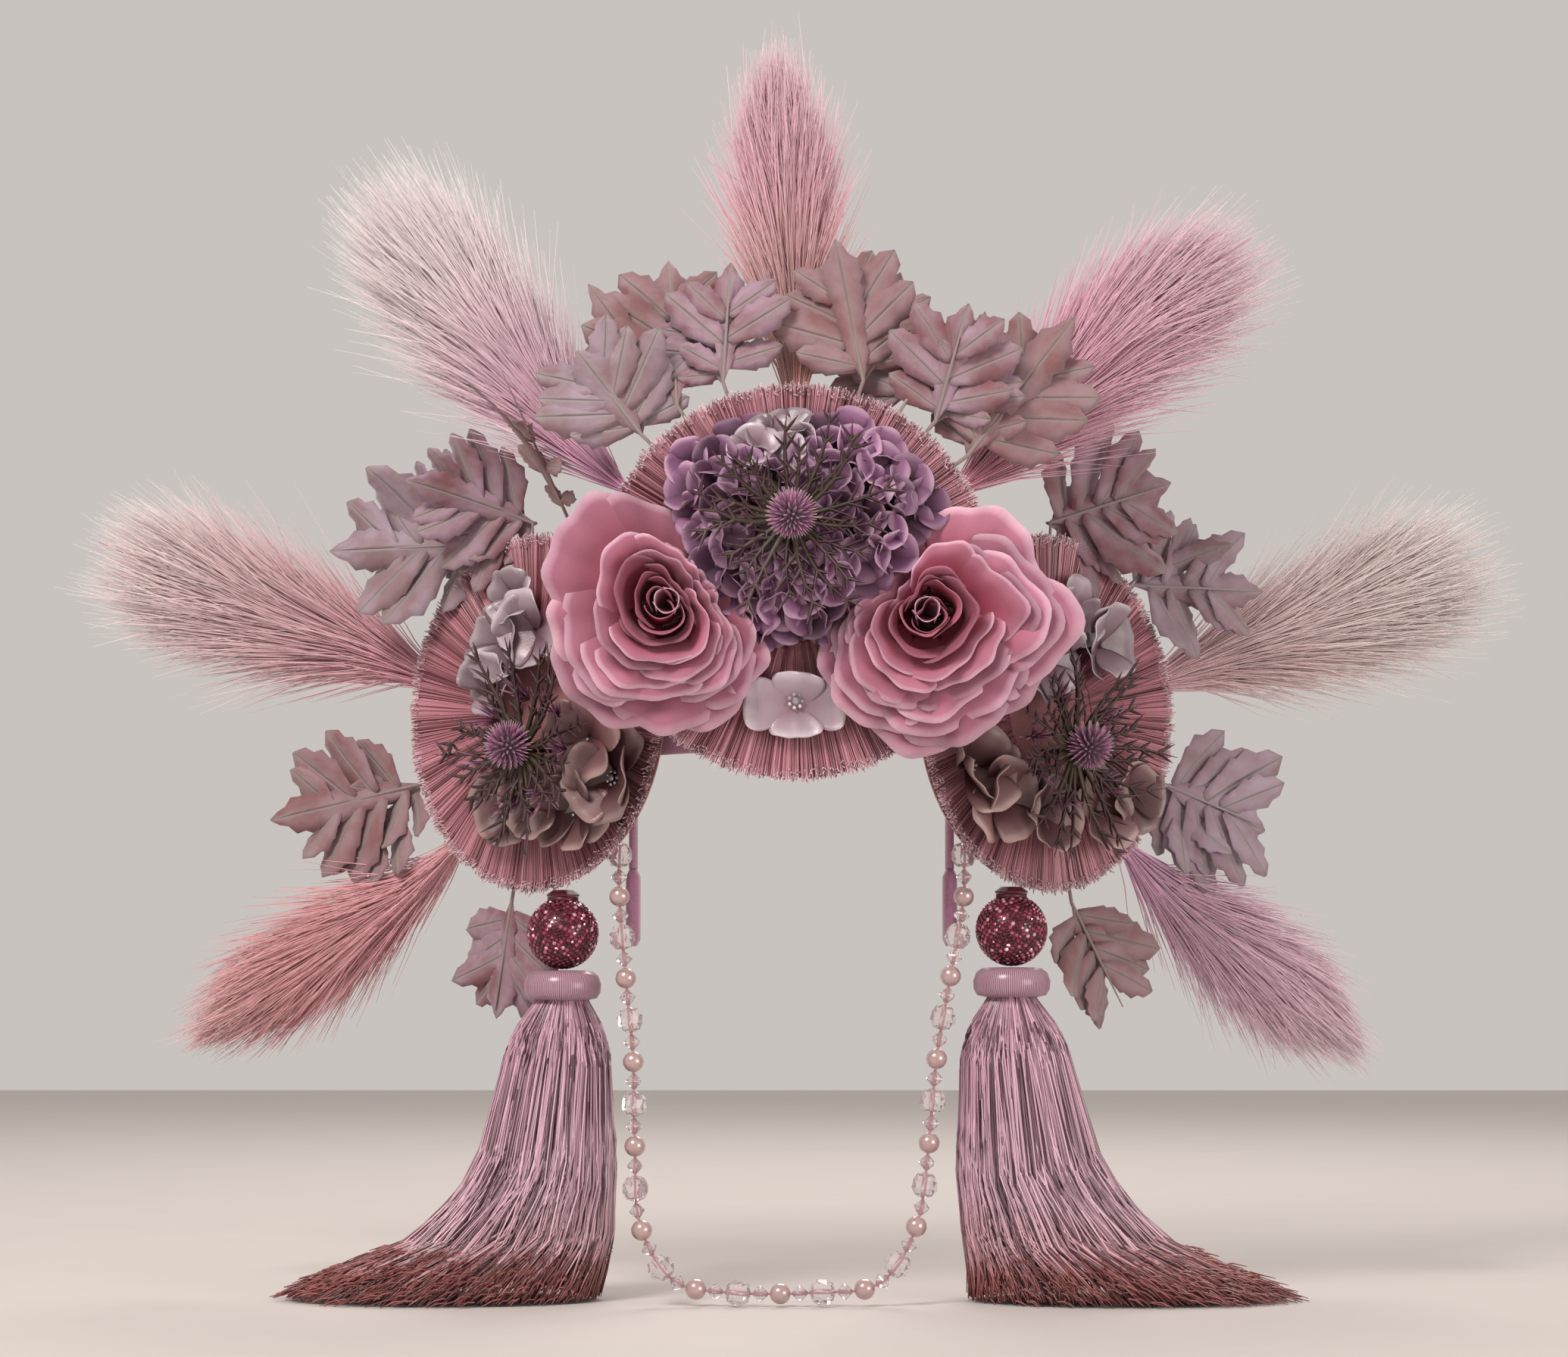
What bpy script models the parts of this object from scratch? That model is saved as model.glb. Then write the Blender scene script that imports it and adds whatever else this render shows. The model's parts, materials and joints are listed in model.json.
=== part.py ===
"""Floral kokoshnik: three fringe rosettes on a covered headband, with silk flowers, grass plumes, leaves,
two tassels and a bead swag. Metres, +Z up, the front faces -Y. The origin is inside the crown of the head,
under the top of the headband."""

import math

import bmesh
import bpy
from mathutils import Matrix, Vector

MM = 0.001
GAP = 0.3
# Points of a turned shape that meet on its axis are merged within this distance, in metres
MERGE = 0.00001

# Driving dimensions, in millimetres
HEAD_HALF_WIDTH = 76.0
HEAD_HALF_DEPTH = 88.0
HEAD_CENTRE_Y = 5.0
BAND_WIDTH = 22.0
BAND_WALL = 4.0
BAND_STRAIGHT_TOP = -66.0
BAND_END = -134.0
SLEEVE_END = -172.0
BACKING_WALL = 3.0
BACKING_HALF_HEIGHT = 18.0
BACKING_Z = -62.0
DISC_WALL = 6.0
CENTRE_DISC_RADIUS = 95.0
SIDE_DISC_RADIUS = 89.0
SIDE_DISC_YAW = 42.0
SIDE_DISC_X = 124.0
SIDE_DISC_Z = -57.0
# The middle disc sits this far to the right of the head's middle, as in the photo
CENTRE_DISC_X = 2.0
BALL_RADIUS = 17.8
SIDES = {"left": -1, "right": 1}

for old in list(bpy.data.objects):
    bpy.data.objects.remove(old, do_unlink=True)
parts = bpy.data.collections.new("floral_kokoshnik")
bpy.context.scene.collection.children.link(parts)


def material(name, colour, roughness, metallic=0.0):
    """A Principled material from an sRGB colour."""
    made = bpy.data.materials.new(name)
    made.use_nodes = True
    shader = made.node_tree.nodes["Principled BSDF"]
    channels = [int(colour[i : i + 2], 16) / 255 for i in (1, 3, 5)]
    shader.inputs["Base Color"].default_value = [c**2.2 for c in channels] + [1]
    shader.inputs["Roughness"].default_value = roughness
    shader.inputs["Metallic"].default_value = metallic
    return made


FELT = ("mauve_felt", "#b07aa0", 0.9)
FRINGE = ("satin_fringe", "#b07a7c", 0.5)
ROSE = ("rose_silk", "#c98594", 0.8)
FLORET = ("lilac_silk", "#8f6d93", 0.8)
THISTLE = ("thistle_foam", "#5a3f44", 0.8)
SILVER = ("pearl_petal", "#b9b0bb", 0.35)
TAUPE = ("taupe_petal", "#9c7f78", 0.5)
LEAF = ("mauve_leaf", "#8f6a6b", 0.8)
SATIN = ("tassel_satin", "#c79a9c", 0.4)
CRYSTAL = ("ruby_crystal", "#a2304f", 0.15)
BEADS = ("clear_beads", "#cdb0a6", 0.1)


def finish(obj, look, smooth=30):
    """Gives an object its own material, soft shading and its place in the collection."""
    name, colour, *finish_values = look
    obj.data.materials.clear()
    obj.data.materials.append(material(f"{obj.name}_{name}", colour, *finish_values))
    for holder in obj.users_collection:
        holder.objects.unlink(obj)
    parts.objects.link(obj)
    if smooth:
        obj.data.shade_smooth()
        obj.data.set_sharp_from_angle(angle=math.radians(smooth))
    return obj


def object_from(name, points, faces, look, place=None):
    """One mesh object from points in millimetres, which `place` puts in the part's frame."""
    mesh = bpy.data.meshes.new(name)
    mesh.from_pydata([Vector(p) * MM for p in points], [], faces)
    made = bpy.data.objects.new(name, mesh)
    parts.objects.link(made)
    if place:
        made.matrix_world = Matrix.Translation(place.translation * MM) @ place.to_3x3().to_4x4()
    return finish(made, look)


def ring_body(name, rings, look, place=None):
    """A closed body through rings of equal numbers of points. The first and last are one point each."""
    first, *middle, last = rings
    sides = len(middle[0])
    points = [first] + [p for ring in middle for p in ring] + [last]
    faces = []
    for j in range(sides):
        after = (j + 1) % sides
        faces.append((0, 1 + j, 1 + after))
        for k in range(len(middle) - 1):
            low = 1 + k * sides
            high = low + sides
            faces.append((low + j, high + j, high + after, low + after))
        low = 1 + (len(middle) - 1) * sides
        faces.append((len(points) - 1, low + after, low + j))
    return object_from(name, points, faces, look, place)


def polar_ring(sides, radius, height):
    """Points round the local Z axis. The radius and the height may be functions of the angle."""
    points = []
    for j in range(sides):
        angle = 2 * math.pi * j / sides
        reach = radius(angle) if callable(radius) else radius
        rise = height(angle) if callable(height) else height
        points.append((reach * math.cos(angle), reach * math.sin(angle), rise))
    return points


def facing(x, y, z, yaw=0.0):
    """A frame whose local X runs across, local Y runs up and local Z faces the front."""
    turn = Matrix.Rotation(math.radians(yaw), 4, "Z") @ Matrix.Rotation(math.radians(90), 4, "X")
    return Matrix.Translation((x, y, z)) @ turn


def strip(name, points, across, wall, look):
    """An open strip through points, with a wall on its outer side."""
    rows = [[Vector(p) - Vector(across) / 2, Vector(p) + Vector(across) / 2] for p in points]
    faces = [(2 * k, 2 * k + 1, 2 * k + 3, 2 * k + 2) for k in range(len(rows) - 1)]
    made = object_from(name, [p for row in rows for p in row], faces, look)
    solidify = made.modifiers.new("wall", "SOLIDIFY")
    solidify.thickness = wall * MM
    solidify.offset = -1
    return made


# Frames of the three discs: the middle of each disc's back face
disc_back_y = HEAD_CENTRE_Y - HEAD_HALF_DEPTH - BACKING_WALL - GAP
yaw = math.radians(SIDE_DISC_YAW)
backing_reach = math.hypot(
    (HEAD_HALF_WIDTH + BACKING_WALL) * math.sin(yaw), (HEAD_HALF_DEPTH + BACKING_WALL) * math.cos(yaw)
)
side_disc_distance = backing_reach - HEAD_CENTRE_Y * math.cos(yaw) + GAP
side_disc_y = (SIDE_DISC_X * math.sin(yaw) - side_disc_distance) / math.cos(yaw)
disc_frames = {"centre": facing(CENTRE_DISC_X, disc_back_y, 0)}
for side, sign in SIDES.items():
    disc_frames[side] = facing(sign * SIDE_DISC_X, side_disc_y, SIDE_DISC_Z, yaw=sign * SIDE_DISC_YAW)


def build_headband():
    """A strip over the head: straight arms and half an ellipse."""
    steps = 14
    rise = -BAND_STRAIGHT_TOP
    points = [(-HEAD_HALF_WIDTH, 0, BAND_END)]
    for k in range(steps + 1):
        angle = math.pi * (1 - k / steps)
        points.append((HEAD_HALF_WIDTH * math.cos(angle), 0, BAND_STRAIGHT_TOP + rise * math.sin(angle)))
    points.append((HEAD_HALF_WIDTH, 0, BAND_END))
    strip("headband", points, (0, BAND_WIDTH, 0), BAND_WALL, FELT)


def build_sleeves():
    """Padded ends of the band, thicker than the band itself."""
    thickness = 7.0
    depth = BAND_WIDTH + 3.0
    edge_width = 2.5
    for side, sign in SIDES.items():
        bpy.ops.mesh.primitive_cube_add(size=1)
        sleeve = bpy.context.object
        sleeve.name = f"band_sleeve_{side}"
        height = BAND_END - GAP - SLEEVE_END
        centre_x = sign * (HEAD_HALF_WIDTH + BAND_WALL / 2)
        sleeve.data.transform(Matrix.Diagonal((thickness * MM, depth * MM, height * MM, 1)))
        sleeve.location = Vector((centre_x, 0, SLEEVE_END + height / 2)) * MM
        bevel = sleeve.modifiers.new("soft_edges", "BEVEL")
        bevel.width = edge_width * MM
        bevel.segments = 1
        finish(sleeve, FELT)


def build_backing():
    """A band round the forehead from one arm of the headband to the other."""
    steps = 18
    clear = math.asin(min(1.0, (BAND_WIDTH / 2 + GAP + HEAD_CENTRE_Y) / HEAD_HALF_DEPTH))
    points = []
    for k in range(steps + 1):
        angle = math.pi + clear + (math.pi - 2 * clear) * k / steps
        x = HEAD_HALF_WIDTH * math.cos(angle)
        y = HEAD_CENTRE_Y + HEAD_HALF_DEPTH * math.sin(angle)
        points.append((x, y, 0))
    made = strip("disc_backing", points, (0, 0, 2 * BACKING_HALF_HEIGHT), BACKING_WALL, FELT)
    made.location.z = BACKING_Z * MM


def build_discs():
    """Rosettes of fringe: radial ridges, a thicker middle and a cut, toothed rim."""
    strands = 30
    tooth = 2.5
    groove = 1.0
    rim_drop = 1.5
    full_share = 0.6
    for name, frame in disc_frames.items():
        radius = CENTRE_DISC_RADIUS if name == "centre" else SIDE_DISC_RADIUS

        def edge(angle, reach=radius):
            return reach - tooth * (0.5 + 0.5 * math.cos(strands * angle))

        def ridge(angle):
            return DISC_WALL - groove * (0.5 + 0.5 * math.cos(strands * angle))

        sides = strands * 2
        rings = [
            (0, 0, DISC_WALL),
            polar_ring(sides, radius * full_share, ridge),
            polar_ring(sides, edge, lambda a: ridge(a) - rim_drop),
            polar_ring(sides, lambda a: edge(a) - 1, 0),
            (0, 0, 0),
        ]
        ring_body(f"disc_{name}", rings, FRINGE, frame)


def disc_radius(name):
    """The radius of a disc, by its name."""
    return CENTRE_DISC_RADIUS if name == "centre" else SIDE_DISC_RADIUS


def over(frame, u, v, w):
    """A frame that is parallel to another, moved in its own directions."""
    return frame @ Matrix.Translation((u, v, w))


def outline(table):
    """A smooth closed radius over the angle, from rows spaced evenly round the turn."""

    def radius(angle):
        place = (angle % (2 * math.pi)) / (2 * math.pi) * len(table)
        k = int(place) % len(table)
        ease = 0.5 - 0.5 * math.cos(math.pi * (place - int(place)))
        return table[k] * (1 - ease) + table[(k + 1) % len(table)] * ease

    return radius


# Flower outlines: radius in millimetres at every 30 degrees from local +X, turning towards up
ROSES = {
    "left": {"at": (-60.0, -12.0), "reach": outline([30, 27, 31, 46, 64, 62, 58, 58, 62, 58, 58, 50])},
    "right": {"at": (61.0, -16.0), "reach": outline([74, 60, 58, 53, 29, 28, 42, 54, 62, 66, 60, 62])},
}
# Rose walls from the bud to the outer petals: share of the reach, height, scallop
ROSE_LAYERS = ((0.30, 33.0, 0.04), (0.53, 31.0, 0.05), (0.77, 25.0, 0.06), (1.00, 14.0, 0.05))


def clear_reach(at, wanted, clearance):
    """The radius round a point that stays clear of both roses, in the plane of the centre disc."""

    def reach(angle):
        far = wanted(angle)
        while far > 4:
            x = at[0] + far * math.cos(angle)
            y = at[1] + far * math.sin(angle)
            free = True
            for rose in ROSES.values():
                dx = x - rose["at"][0]
                dy = y - rose["at"][1]
                if math.hypot(dx, dy) < rose["reach"](math.atan2(dy, dx)) * 1.07 + clearance:
                    free = False
            if free:
                return far
            far -= 1.0
        return far

    return reach


def on_centre_disc(at, height=DISC_WALL + GAP):
    """A frame on the front of the middle disc, at a place measured from the head's middle."""
    return over(disc_frames["centre"], at[0] - CENTRE_DISC_X, at[1], height)


def build_roses():
    """A bud in nested cups of petal wall, each with a scalloped lip."""
    sides = 20
    wall = 1.5
    bud_share, bud_rim, bud_top = 0.15, 27.0, 29.0
    floor_step = 3.5
    lip_wave = 30.0
    for side, rose in ROSES.items():
        reach = rose["reach"]
        rings = [(0, 0, bud_top), polar_ring(sides, lambda a: bud_share * reach(a), bud_rim)]
        floor = 15.0
        inner = 0.20
        for k, (share, height, scallop) in enumerate(ROSE_LAYERS):

            def wave(angle, k=k, scallop=scallop):
                return scallop * math.cos(5 * angle + 1.9 * k)

            rings.append(polar_ring(sides, lambda a, i=inner: i * reach(a) + 0.3, floor))
            rings.append(
                polar_ring(
                    sides,
                    lambda a, s=share, w=wave: (s + w(a)) * reach(a),
                    lambda a, h=height, w=wave: h + lip_wave * w(a),
                )
            )
            rings.append(
                polar_ring(
                    sides,
                    lambda a, s=share, w=wave: (s + w(a)) * reach(a) + wall,
                    lambda a, h=height, w=wave: h - 1 + lip_wave * w(a),
                )
            )
            inner = share + scallop + 0.02
            floor -= floor_step
        rings.append(polar_ring(sides, lambda a: 0.8 * reach(a), 0))
        rings.append((0, 0, 0))
        ring_body(f"rose_{side}", rings, ROSE, on_centre_disc(rose["at"]))


HYDRANGEA_AT = (1.8, 24.0)
HYDRANGEA_REACH = outline([66, 66, 56, 50, 58, 66, 66, 60, 54, 50, 54, 60])
HYDRANGEA_HEIGHT = 35.0
FLORET_AT = (0.0, -60.0)
FLORET_RADIUS = 24.0
FLORET_HEIGHT = 7.0


def build_hydrangea():
    """A dome of small crinkled florets, squeezed between the roses."""
    sides = 30
    shares = (0.22, 0.42, 0.62, 0.8, 0.94)
    crinkle = 4.0
    reach = clear_reach(HYDRANGEA_AT, HYDRANGEA_REACH, 2.0)
    rings = [(0, 0, HYDRANGEA_HEIGHT)]
    for k, share in enumerate(shares):
        dome = (HYDRANGEA_HEIGHT - crinkle) * math.sqrt(1 - share**2)
        ring = polar_ring(sides, lambda a, s=share: s * reach(a), dome)
        rings.append([(x, y, z + crinkle * ((j // 2 + k) % 2)) for j, (x, y, z) in enumerate(ring)])
    rings.append(polar_ring(sides, lambda a: 0.9 * reach(a), 0))
    rings.append((0, 0, 0))
    ring_body("hydrangea", rings, FLORET, on_centre_disc(HYDRANGEA_AT))


def petal_cup(name, reach, lobes, height, look, place, phase=0.0):
    """A shallow flower: a middle, and lobed petals with a thin wall that rise to their tips."""
    sides = lobes * 4
    wall = 1.4
    ruffle = 3.0

    def lobe(angle):
        return 0.70 + 0.30 * abs(math.cos(lobes * angle / 2 + phase))

    def full(angle):
        return lobe(angle) * (reach(angle) if callable(reach) else reach)

    def lip(angle):
        return height + ruffle * math.sin(2 * lobes * angle)

    rings = [
        (0, 0, 5),
        polar_ring(sides, 3, 4),
        polar_ring(sides, lambda a: 0.45 * full(a), 3.5),
        polar_ring(sides, full, lip),
        polar_ring(sides, lambda a: full(a) + 0.3, lambda a: lip(a) - wall),
        polar_ring(sides, lambda a: 0.5 * full(a), 0.8),
        (0, 0, 0),
    ]
    return ring_body(name, rings, look, place)


# Petals that reach over a disc's rim sit this much lower, because the rim is thinner
RIM_DROP = 0.9
CLUSTER_HEIGHT = 12.0
# Petal clusters on the side discs: across towards the wearer's right, up, radius, lobes
CLUSTERS = {
    "petals_silver_left": ("left", -8, 32, 26, 4, SILVER),
    "petals_taupe_left": ("left", 58, -38, 30, 5, TAUPE),
    "petals_silver_right": ("right", -30, 22, 26, 4, SILVER),
    "petals_taupe_right": ("right", -60, -40, 30, 5, TAUPE),
}
# Thistles: frame, across, up, height of the stem under the bracts, reach of the bracts
THISTLES = {
    "centre": ("centre", -2.0, 26.0, 0.0, 46.0),
    "left": ("left", 16.0, -19.0, 20.0, 46.0),
    "right": ("right", -6.0, -19.0, 20.0, 46.0),
}


def build_small_flowers():
    """The pearly floret under the roses, and the petal clusters on the side discs."""
    reach = clear_reach(FLORET_AT, lambda a: FLORET_RADIUS, 1.5)
    petal_cup("floret_centre", reach, 4, FLORET_HEIGHT, SILVER, on_centre_disc(FLORET_AT), phase=0.8)
    for name, (disc, u, v, radius, lobes, look) in CLUSTERS.items():
        rim_drop = RIM_DROP if math.hypot(u, v) > 0.6 * SIDE_DISC_RADIUS else 0.0
        place = over(disc_frames[disc], u, v, DISC_WALL + GAP - rim_drop)
        petal_cup(name, radius, lobes, CLUSTER_HEIGHT, look, place)


def build_thistles():
    """A round spiny head in a star of long thin bracts, on a stem."""
    bracts = 11
    sides = bracts * 2
    head = 11.5
    for side, (disc, u, v, stem, reach) in THISTLES.items():

        def star(spread, valley, tip_rise, valley_rise, reach=reach):
            ring = []
            for j in range(sides):
                angle = 2 * math.pi * j / sides
                length = spread * reach * (0.86 + 0.14 * math.sin(5.3 * j)) if j % 2 == 0 else valley
                rise = tip_rise + 3 * math.sin(3.1 * j) if j % 2 == 0 else valley_rise
                ring.append((length * math.cos(angle), length * math.sin(angle), rise))
            return ring

        rings = [
            (0, 0, 2 * head),
            polar_ring(sides, lambda a: head * (0.75 + 0.1 * math.cos(bracts * a)), 1.7 * head),
            polar_ring(sides, lambda a: head * (1.0 + 0.1 * math.cos(bracts * a)), head),
            star(1.0, 9.0, 13.0, 3.5),
            star(0.97, 8.0, 11.5, 1.0),
            polar_ring(sides, 5, 0),
        ]
        if stem:
            rings.append(polar_ring(sides, 4, -stem))
        rings.append((0, 0, -stem))
        lift = DISC_WALL + GAP + (stem if stem else HYDRANGEA_HEIGHT + GAP)
        ring_body(f"thistle_{side}", rings, THISTLE, over(disc_frames[disc], u, v, lift))


def smooth_points(rows, steps):
    """Points along a smooth curve through rows, `steps` to each stretch between two rows."""
    rows = [Vector(row) for row in rows]
    ends = [2 * rows[0] - rows[1]] + rows + [2 * rows[-1] - rows[-2]]
    points = []
    for k in range(1, len(ends) - 2):
        a, b, c, d = ends[k - 1 : k + 3]
        for step in range(steps):
            t = step / steps
            bend = (2 * a - 5 * b + 4 * c - d) * t**2 + (3 * b - a - 3 * c + d) * t**3
            points.append(0.5 * (2 * b + (c - a) * t + bend))
    return points + [rows[-1]]


def swept_rings(points, radii, sides, spike=0.0):
    """Rings square to a path. With a spike, every second point stands out and runs ahead of its ring."""
    rings = []
    across = None
    for k, point in enumerate(points):
        ahead = (points[min(k + 1, len(points) - 1)] - points[max(k - 1, 0)]).normalized()
        if across is None:
            across = ahead.orthogonal()
        across = (across - ahead * across.dot(ahead)).normalized()
        up = ahead.cross(across)
        ring = []
        for j in range(sides):
            angle = 2 * math.pi * j / sides
            stands = spike if (j + k) % 2 == 0 else -spike
            place = point + (across * math.cos(angle) + up * math.sin(angle)) * radii[k] * (1 + stands)
            ring.append(place + ahead * radii[k] * stands * 1.2)
        rings.append(ring)
    return rings


# Plumes: the disc that carries each one, where its stem starts on that disc's back, then three places
# on its spine (x, y, z) and how wide it is at its middle
PLUMES = {
    "top": ("centre", (0, 62), (2, -50, 112), (-3, -28, 195), (-7, -20, 270), 66),
    "upper_left": ("centre", (-70, 36), (-100, -42, 66), (-158, -12, 140), (-214, 8, 210), 64),
    "upper_right": ("centre", (66, 36), (98, -42, 62), (168, -12, 134), (230, 8, 182), 64),
    "mid_left": ("left", (-60, 10), (-190, 76, -30), (-270, 84, 0), (-360, 96, 38), 60),
    "mid_right": ("right", (60, 10), (190, 76, -34), (272, 84, -4), (364, 96, 30), 60),
    "lower_left": ("left", (-44, -50), (-176, 58, -132), (-238, 66, -174), (-304, 70, -218), 56),
    "lower_right": ("right", (44, -50), (180, 58, -136), (236, 66, -180), (290, 70, -224), 56),
}
STEM_BACK = -0.9
STEM_DEPTH = -12.0
# A ring wider than this belongs to the hairy part, which is flatter than it is wide
PLUME_STEM = 8.0
PLUME_FLATNESS = 0.6
TIP_LENGTH = 10.0


def build_plumes():
    """Soft grass plumes: pointed locks stand out in rows from a tapered core, on a thin stem."""
    sides = 12
    for name, (disc, seat, low, middle, tip, width) in PLUMES.items():
        frame = disc_frames[disc]
        start = frame @ Vector((*seat, STEM_BACK))
        behind = frame @ Vector((*seat, STEM_DEPTH))
        spine = smooth_points([start, behind, low, middle, tip], 2)
        half = width / 2
        radii = [1.5, 3.5, 4.5, 7, 11, 0.85 * half, half * 1.1, half, 6]
        shares = [0.0, 0.0, 0.1] + [0.22] * (len(spine) - 3)
        rings = []
        for k, centre in enumerate(spine):
            ring = swept_rings(spine, radii, sides, shares[k])[k]
            flat = PLUME_FLATNESS if radii[k] > PLUME_STEM else 1.0
            rings.append([Vector((p.x, centre.y + (p.y - centre.y) * flat, p.z)) for p in ring])
        last = spine[-1] + (spine[-1] - spine[-2]).normalized() * TIP_LENGTH
        ring_body(f"plume_{name}", [spine[0], *rings, last], ROSE)


# Leaves: the disc behind which each one starts, its seat there, its tip (x, y, z), half its width, lobes
LEAVES = {
    "top_left_a": ("centre", (-44, 66), (-60, -54, 165), 32, 4),
    "top_left_b": ("centre", (-56, 54), (-102, -93, 110), 29, 4),
    "top_left_c": ("centre", (-26, 72), (-29, -80, 156), 24, 3),
    "top_right_a": ("centre", (24, 72), (21, -80, 164), 29, 4),
    "top_right_b": ("centre", (40, 66), (56, -46, 136), 27, 3),
    "top_right_c": ("centre", (50, 58), (84, -95, 132), 27, 3),
    "top_right_d": ("centre", (62, 46), (134, -66, 126), 32, 4),
    "left_a": ("left", (-30, 66), (-234, 46, 28), 34, 4),
    "left_b": ("left", (-6, 74), (-190, 10, 62), 29, 4),
    "left_curled": ("left", (14, 72), (-140, -92, 106), 13, 3),
    "right_a": ("right", (50, 50), (240, 50, 8), 29, 4),
    "right_b": ("right", (6, 74), (190, 8, 58), 32, 4),
    "low_left": ("left", (-66, -24), (-266, 72, -108), 32, 4),
    "low_right": ("right", (66, -24), (244, 72, -112), 34, 4),
    "under_left": ("left", (-16, -70), (-148, 24, -208), 30, 4),
    "under_right": ("right", (16, -70), (166, 12, -206), 29, 4),
}
LEAF_WALL = 1.0
# A stalk runs behind its disc to this far past the rim, where the blade starts
RIM_CLEAR = 7.0
STALK_HALF_WIDTH = 2.0
STALK_DEPTHS = (0.3, 0.6)


def build_leaves():
    """Deeply lobed leaves, folded along the midrib, each on a narrow stalk behind a disc."""
    for name, (disc, seat, tip, half, lobes) in LEAVES.items():
        frame = disc_frames[disc]
        base = frame @ Vector((*seat, -GAP - LEAF_WALL / 2 - STALK_DEPTHS[0]))
        outward = Vector(seat).normalized() * (disc_radius(disc) + RIM_CLEAR)
        rim = frame @ Vector((*outward, -GAP - LEAF_WALL / 2 - STALK_DEPTHS[1]))
        rib = Vector(tip) - rim
        front = -(frame.to_3x3() @ Vector((0, 0, 1)))
        across = rib.cross(front).normalized()
        back = across.cross(rib).normalized()
        if back.dot(front) < 0:
            back = -back
        points = [base] + [rim + rib * k / lobes for k in range(lobes + 1)]
        faces = []
        for sign in (1, -1):
            edge_start = len(points)
            points.append(base + across * sign * STALK_HALF_WIDTH)
            for k in range(lobes):
                share = k / lobes
                swell = math.sin(math.pi * min(1, (k + 0.8) / (lobes + 0.6))) ** 0.7
                neck = STALK_HALF_WIDTH + (half * 0.28 * swell if k else 0)
                points.append(rim + rib * share + across * sign * neck)
                points.append(
                    rim + rib * (share + 0.95 / lobes) + across * sign * half * swell + back * half * 0.18
                )
            edges = list(range(edge_start, len(points)))
            group = [(0, edges[0], edges[1]), (0, edges[1], 1)]
            for k in range(lobes):
                sinus = edges[1 + 2 * k]
                lobe = edges[2 + 2 * k]
                after = edges[3 + 2 * k] if k < lobes - 1 else 2 + k
                group.append((1 + k, sinus, lobe))
                group.append((1 + k, lobe, after) if k < lobes - 1 else (1 + k, lobe, 2 + k))
                if k < lobes - 1:
                    group.append((1 + k, after, 2 + k))
            faces += [face if sign > 0 else face[::-1] for face in group]
        made = object_from(f"leaf_{name}", points, faces, LEAF)
        wall = made.modifiers.new("wall", "SOLIDIFY")
        wall.thickness = LEAF_WALL * MM
        wall.offset = 0


def turned(name, profile, steps, look, place):
    """A turned shape from (radius, height) rows that run from the top down its outer side."""
    made = object_from(name, [(0, 0, 0)], [], look)
    made.data.clear_geometry()
    points = [Vector((radius, 0, height)) * MM for radius, height in profile]
    made.data.from_pydata(points, [(k, k + 1) for k in range(len(profile) - 1)], [])
    screw = made.modifiers.new("turn", "SCREW")
    screw.steps = steps
    screw.render_steps = steps
    screw.use_merge_vertices = True
    screw.merge_threshold = MERGE
    made.location = Vector(place) * MM
    return made


# Tassels: where each hangs on its disc's lower edge
TASSEL_SEAT = {"left": 19.0, "right": -25.0}
# Turned outlines (radius, height), from the top down
CAP_OUTLINE = ((0, 0), (5, -0.2), (8, -2.4), (8, -3.2), (0, -3.2))
RING_OUTLINE = ((0, 0), (12, 0), (17, -2.5), (18.8, -7), (18, -12), (15, -14.5), (0, -14.5))
CAP_DROP = 0.2
# Skirt sections: height, middle across, half width across, half width in depth
SKIRTS = {
    "left": (
        (-199.5, 0, 13, 13), (-215, -2, 25, 22), (-250, -4, 31, 26), (-285, -8, 35, 30),
        (-308, -15, 42, 34), (-326, -38, 62, 40), (-336, -52, 74, 46), (-343.6, -58, 78, 48),
    ),
    "right": (
        (-199.5, 0, 13, 13), (-215, 1, 26, 22), (-250, 4, 32, 26), (-285, 9, 37, 30),
        (-308, 17, 44, 34), (-326, 38, 60, 40), (-336, 50, 74, 46), (-343.6, 56, 80, 48),
    ),
}
# Each section of a skirt lies this much further back than the one above
SKIRT_REAR_STEP = 1.0
SKIRT_SIDES = 28
SKIRT_GROOVE = 0.07


def build_skirt(side, x, y, top):
    """Strands in soft locks that hang from the ring and sweep outwards on the floor."""
    rings = []
    for k, (height, shift, half, depth) in enumerate(SKIRTS[side]):
        ring = []
        for j in range(SKIRT_SIDES):
            angle = 2 * math.pi * j / SKIRT_SIDES
            lock = 1.0 - (SKIRT_GROOVE if j % 2 else 0.0)
            across = x + shift + half * lock * math.cos(angle)
            back = y + SKIRT_REAR_STEP * k + depth * lock * math.sin(angle)
            ring.append((across, back, height if k else top))
        rings.append(ring)
    last_height, last_shift, _, _ = SKIRTS[side][-1]
    below = (x + last_shift, y + SKIRT_REAR_STEP * (len(rings) - 1), last_height)
    ring_body(f"tassel_skirt_{side}", [(x, y, top), *rings, below], SATIN)


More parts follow.
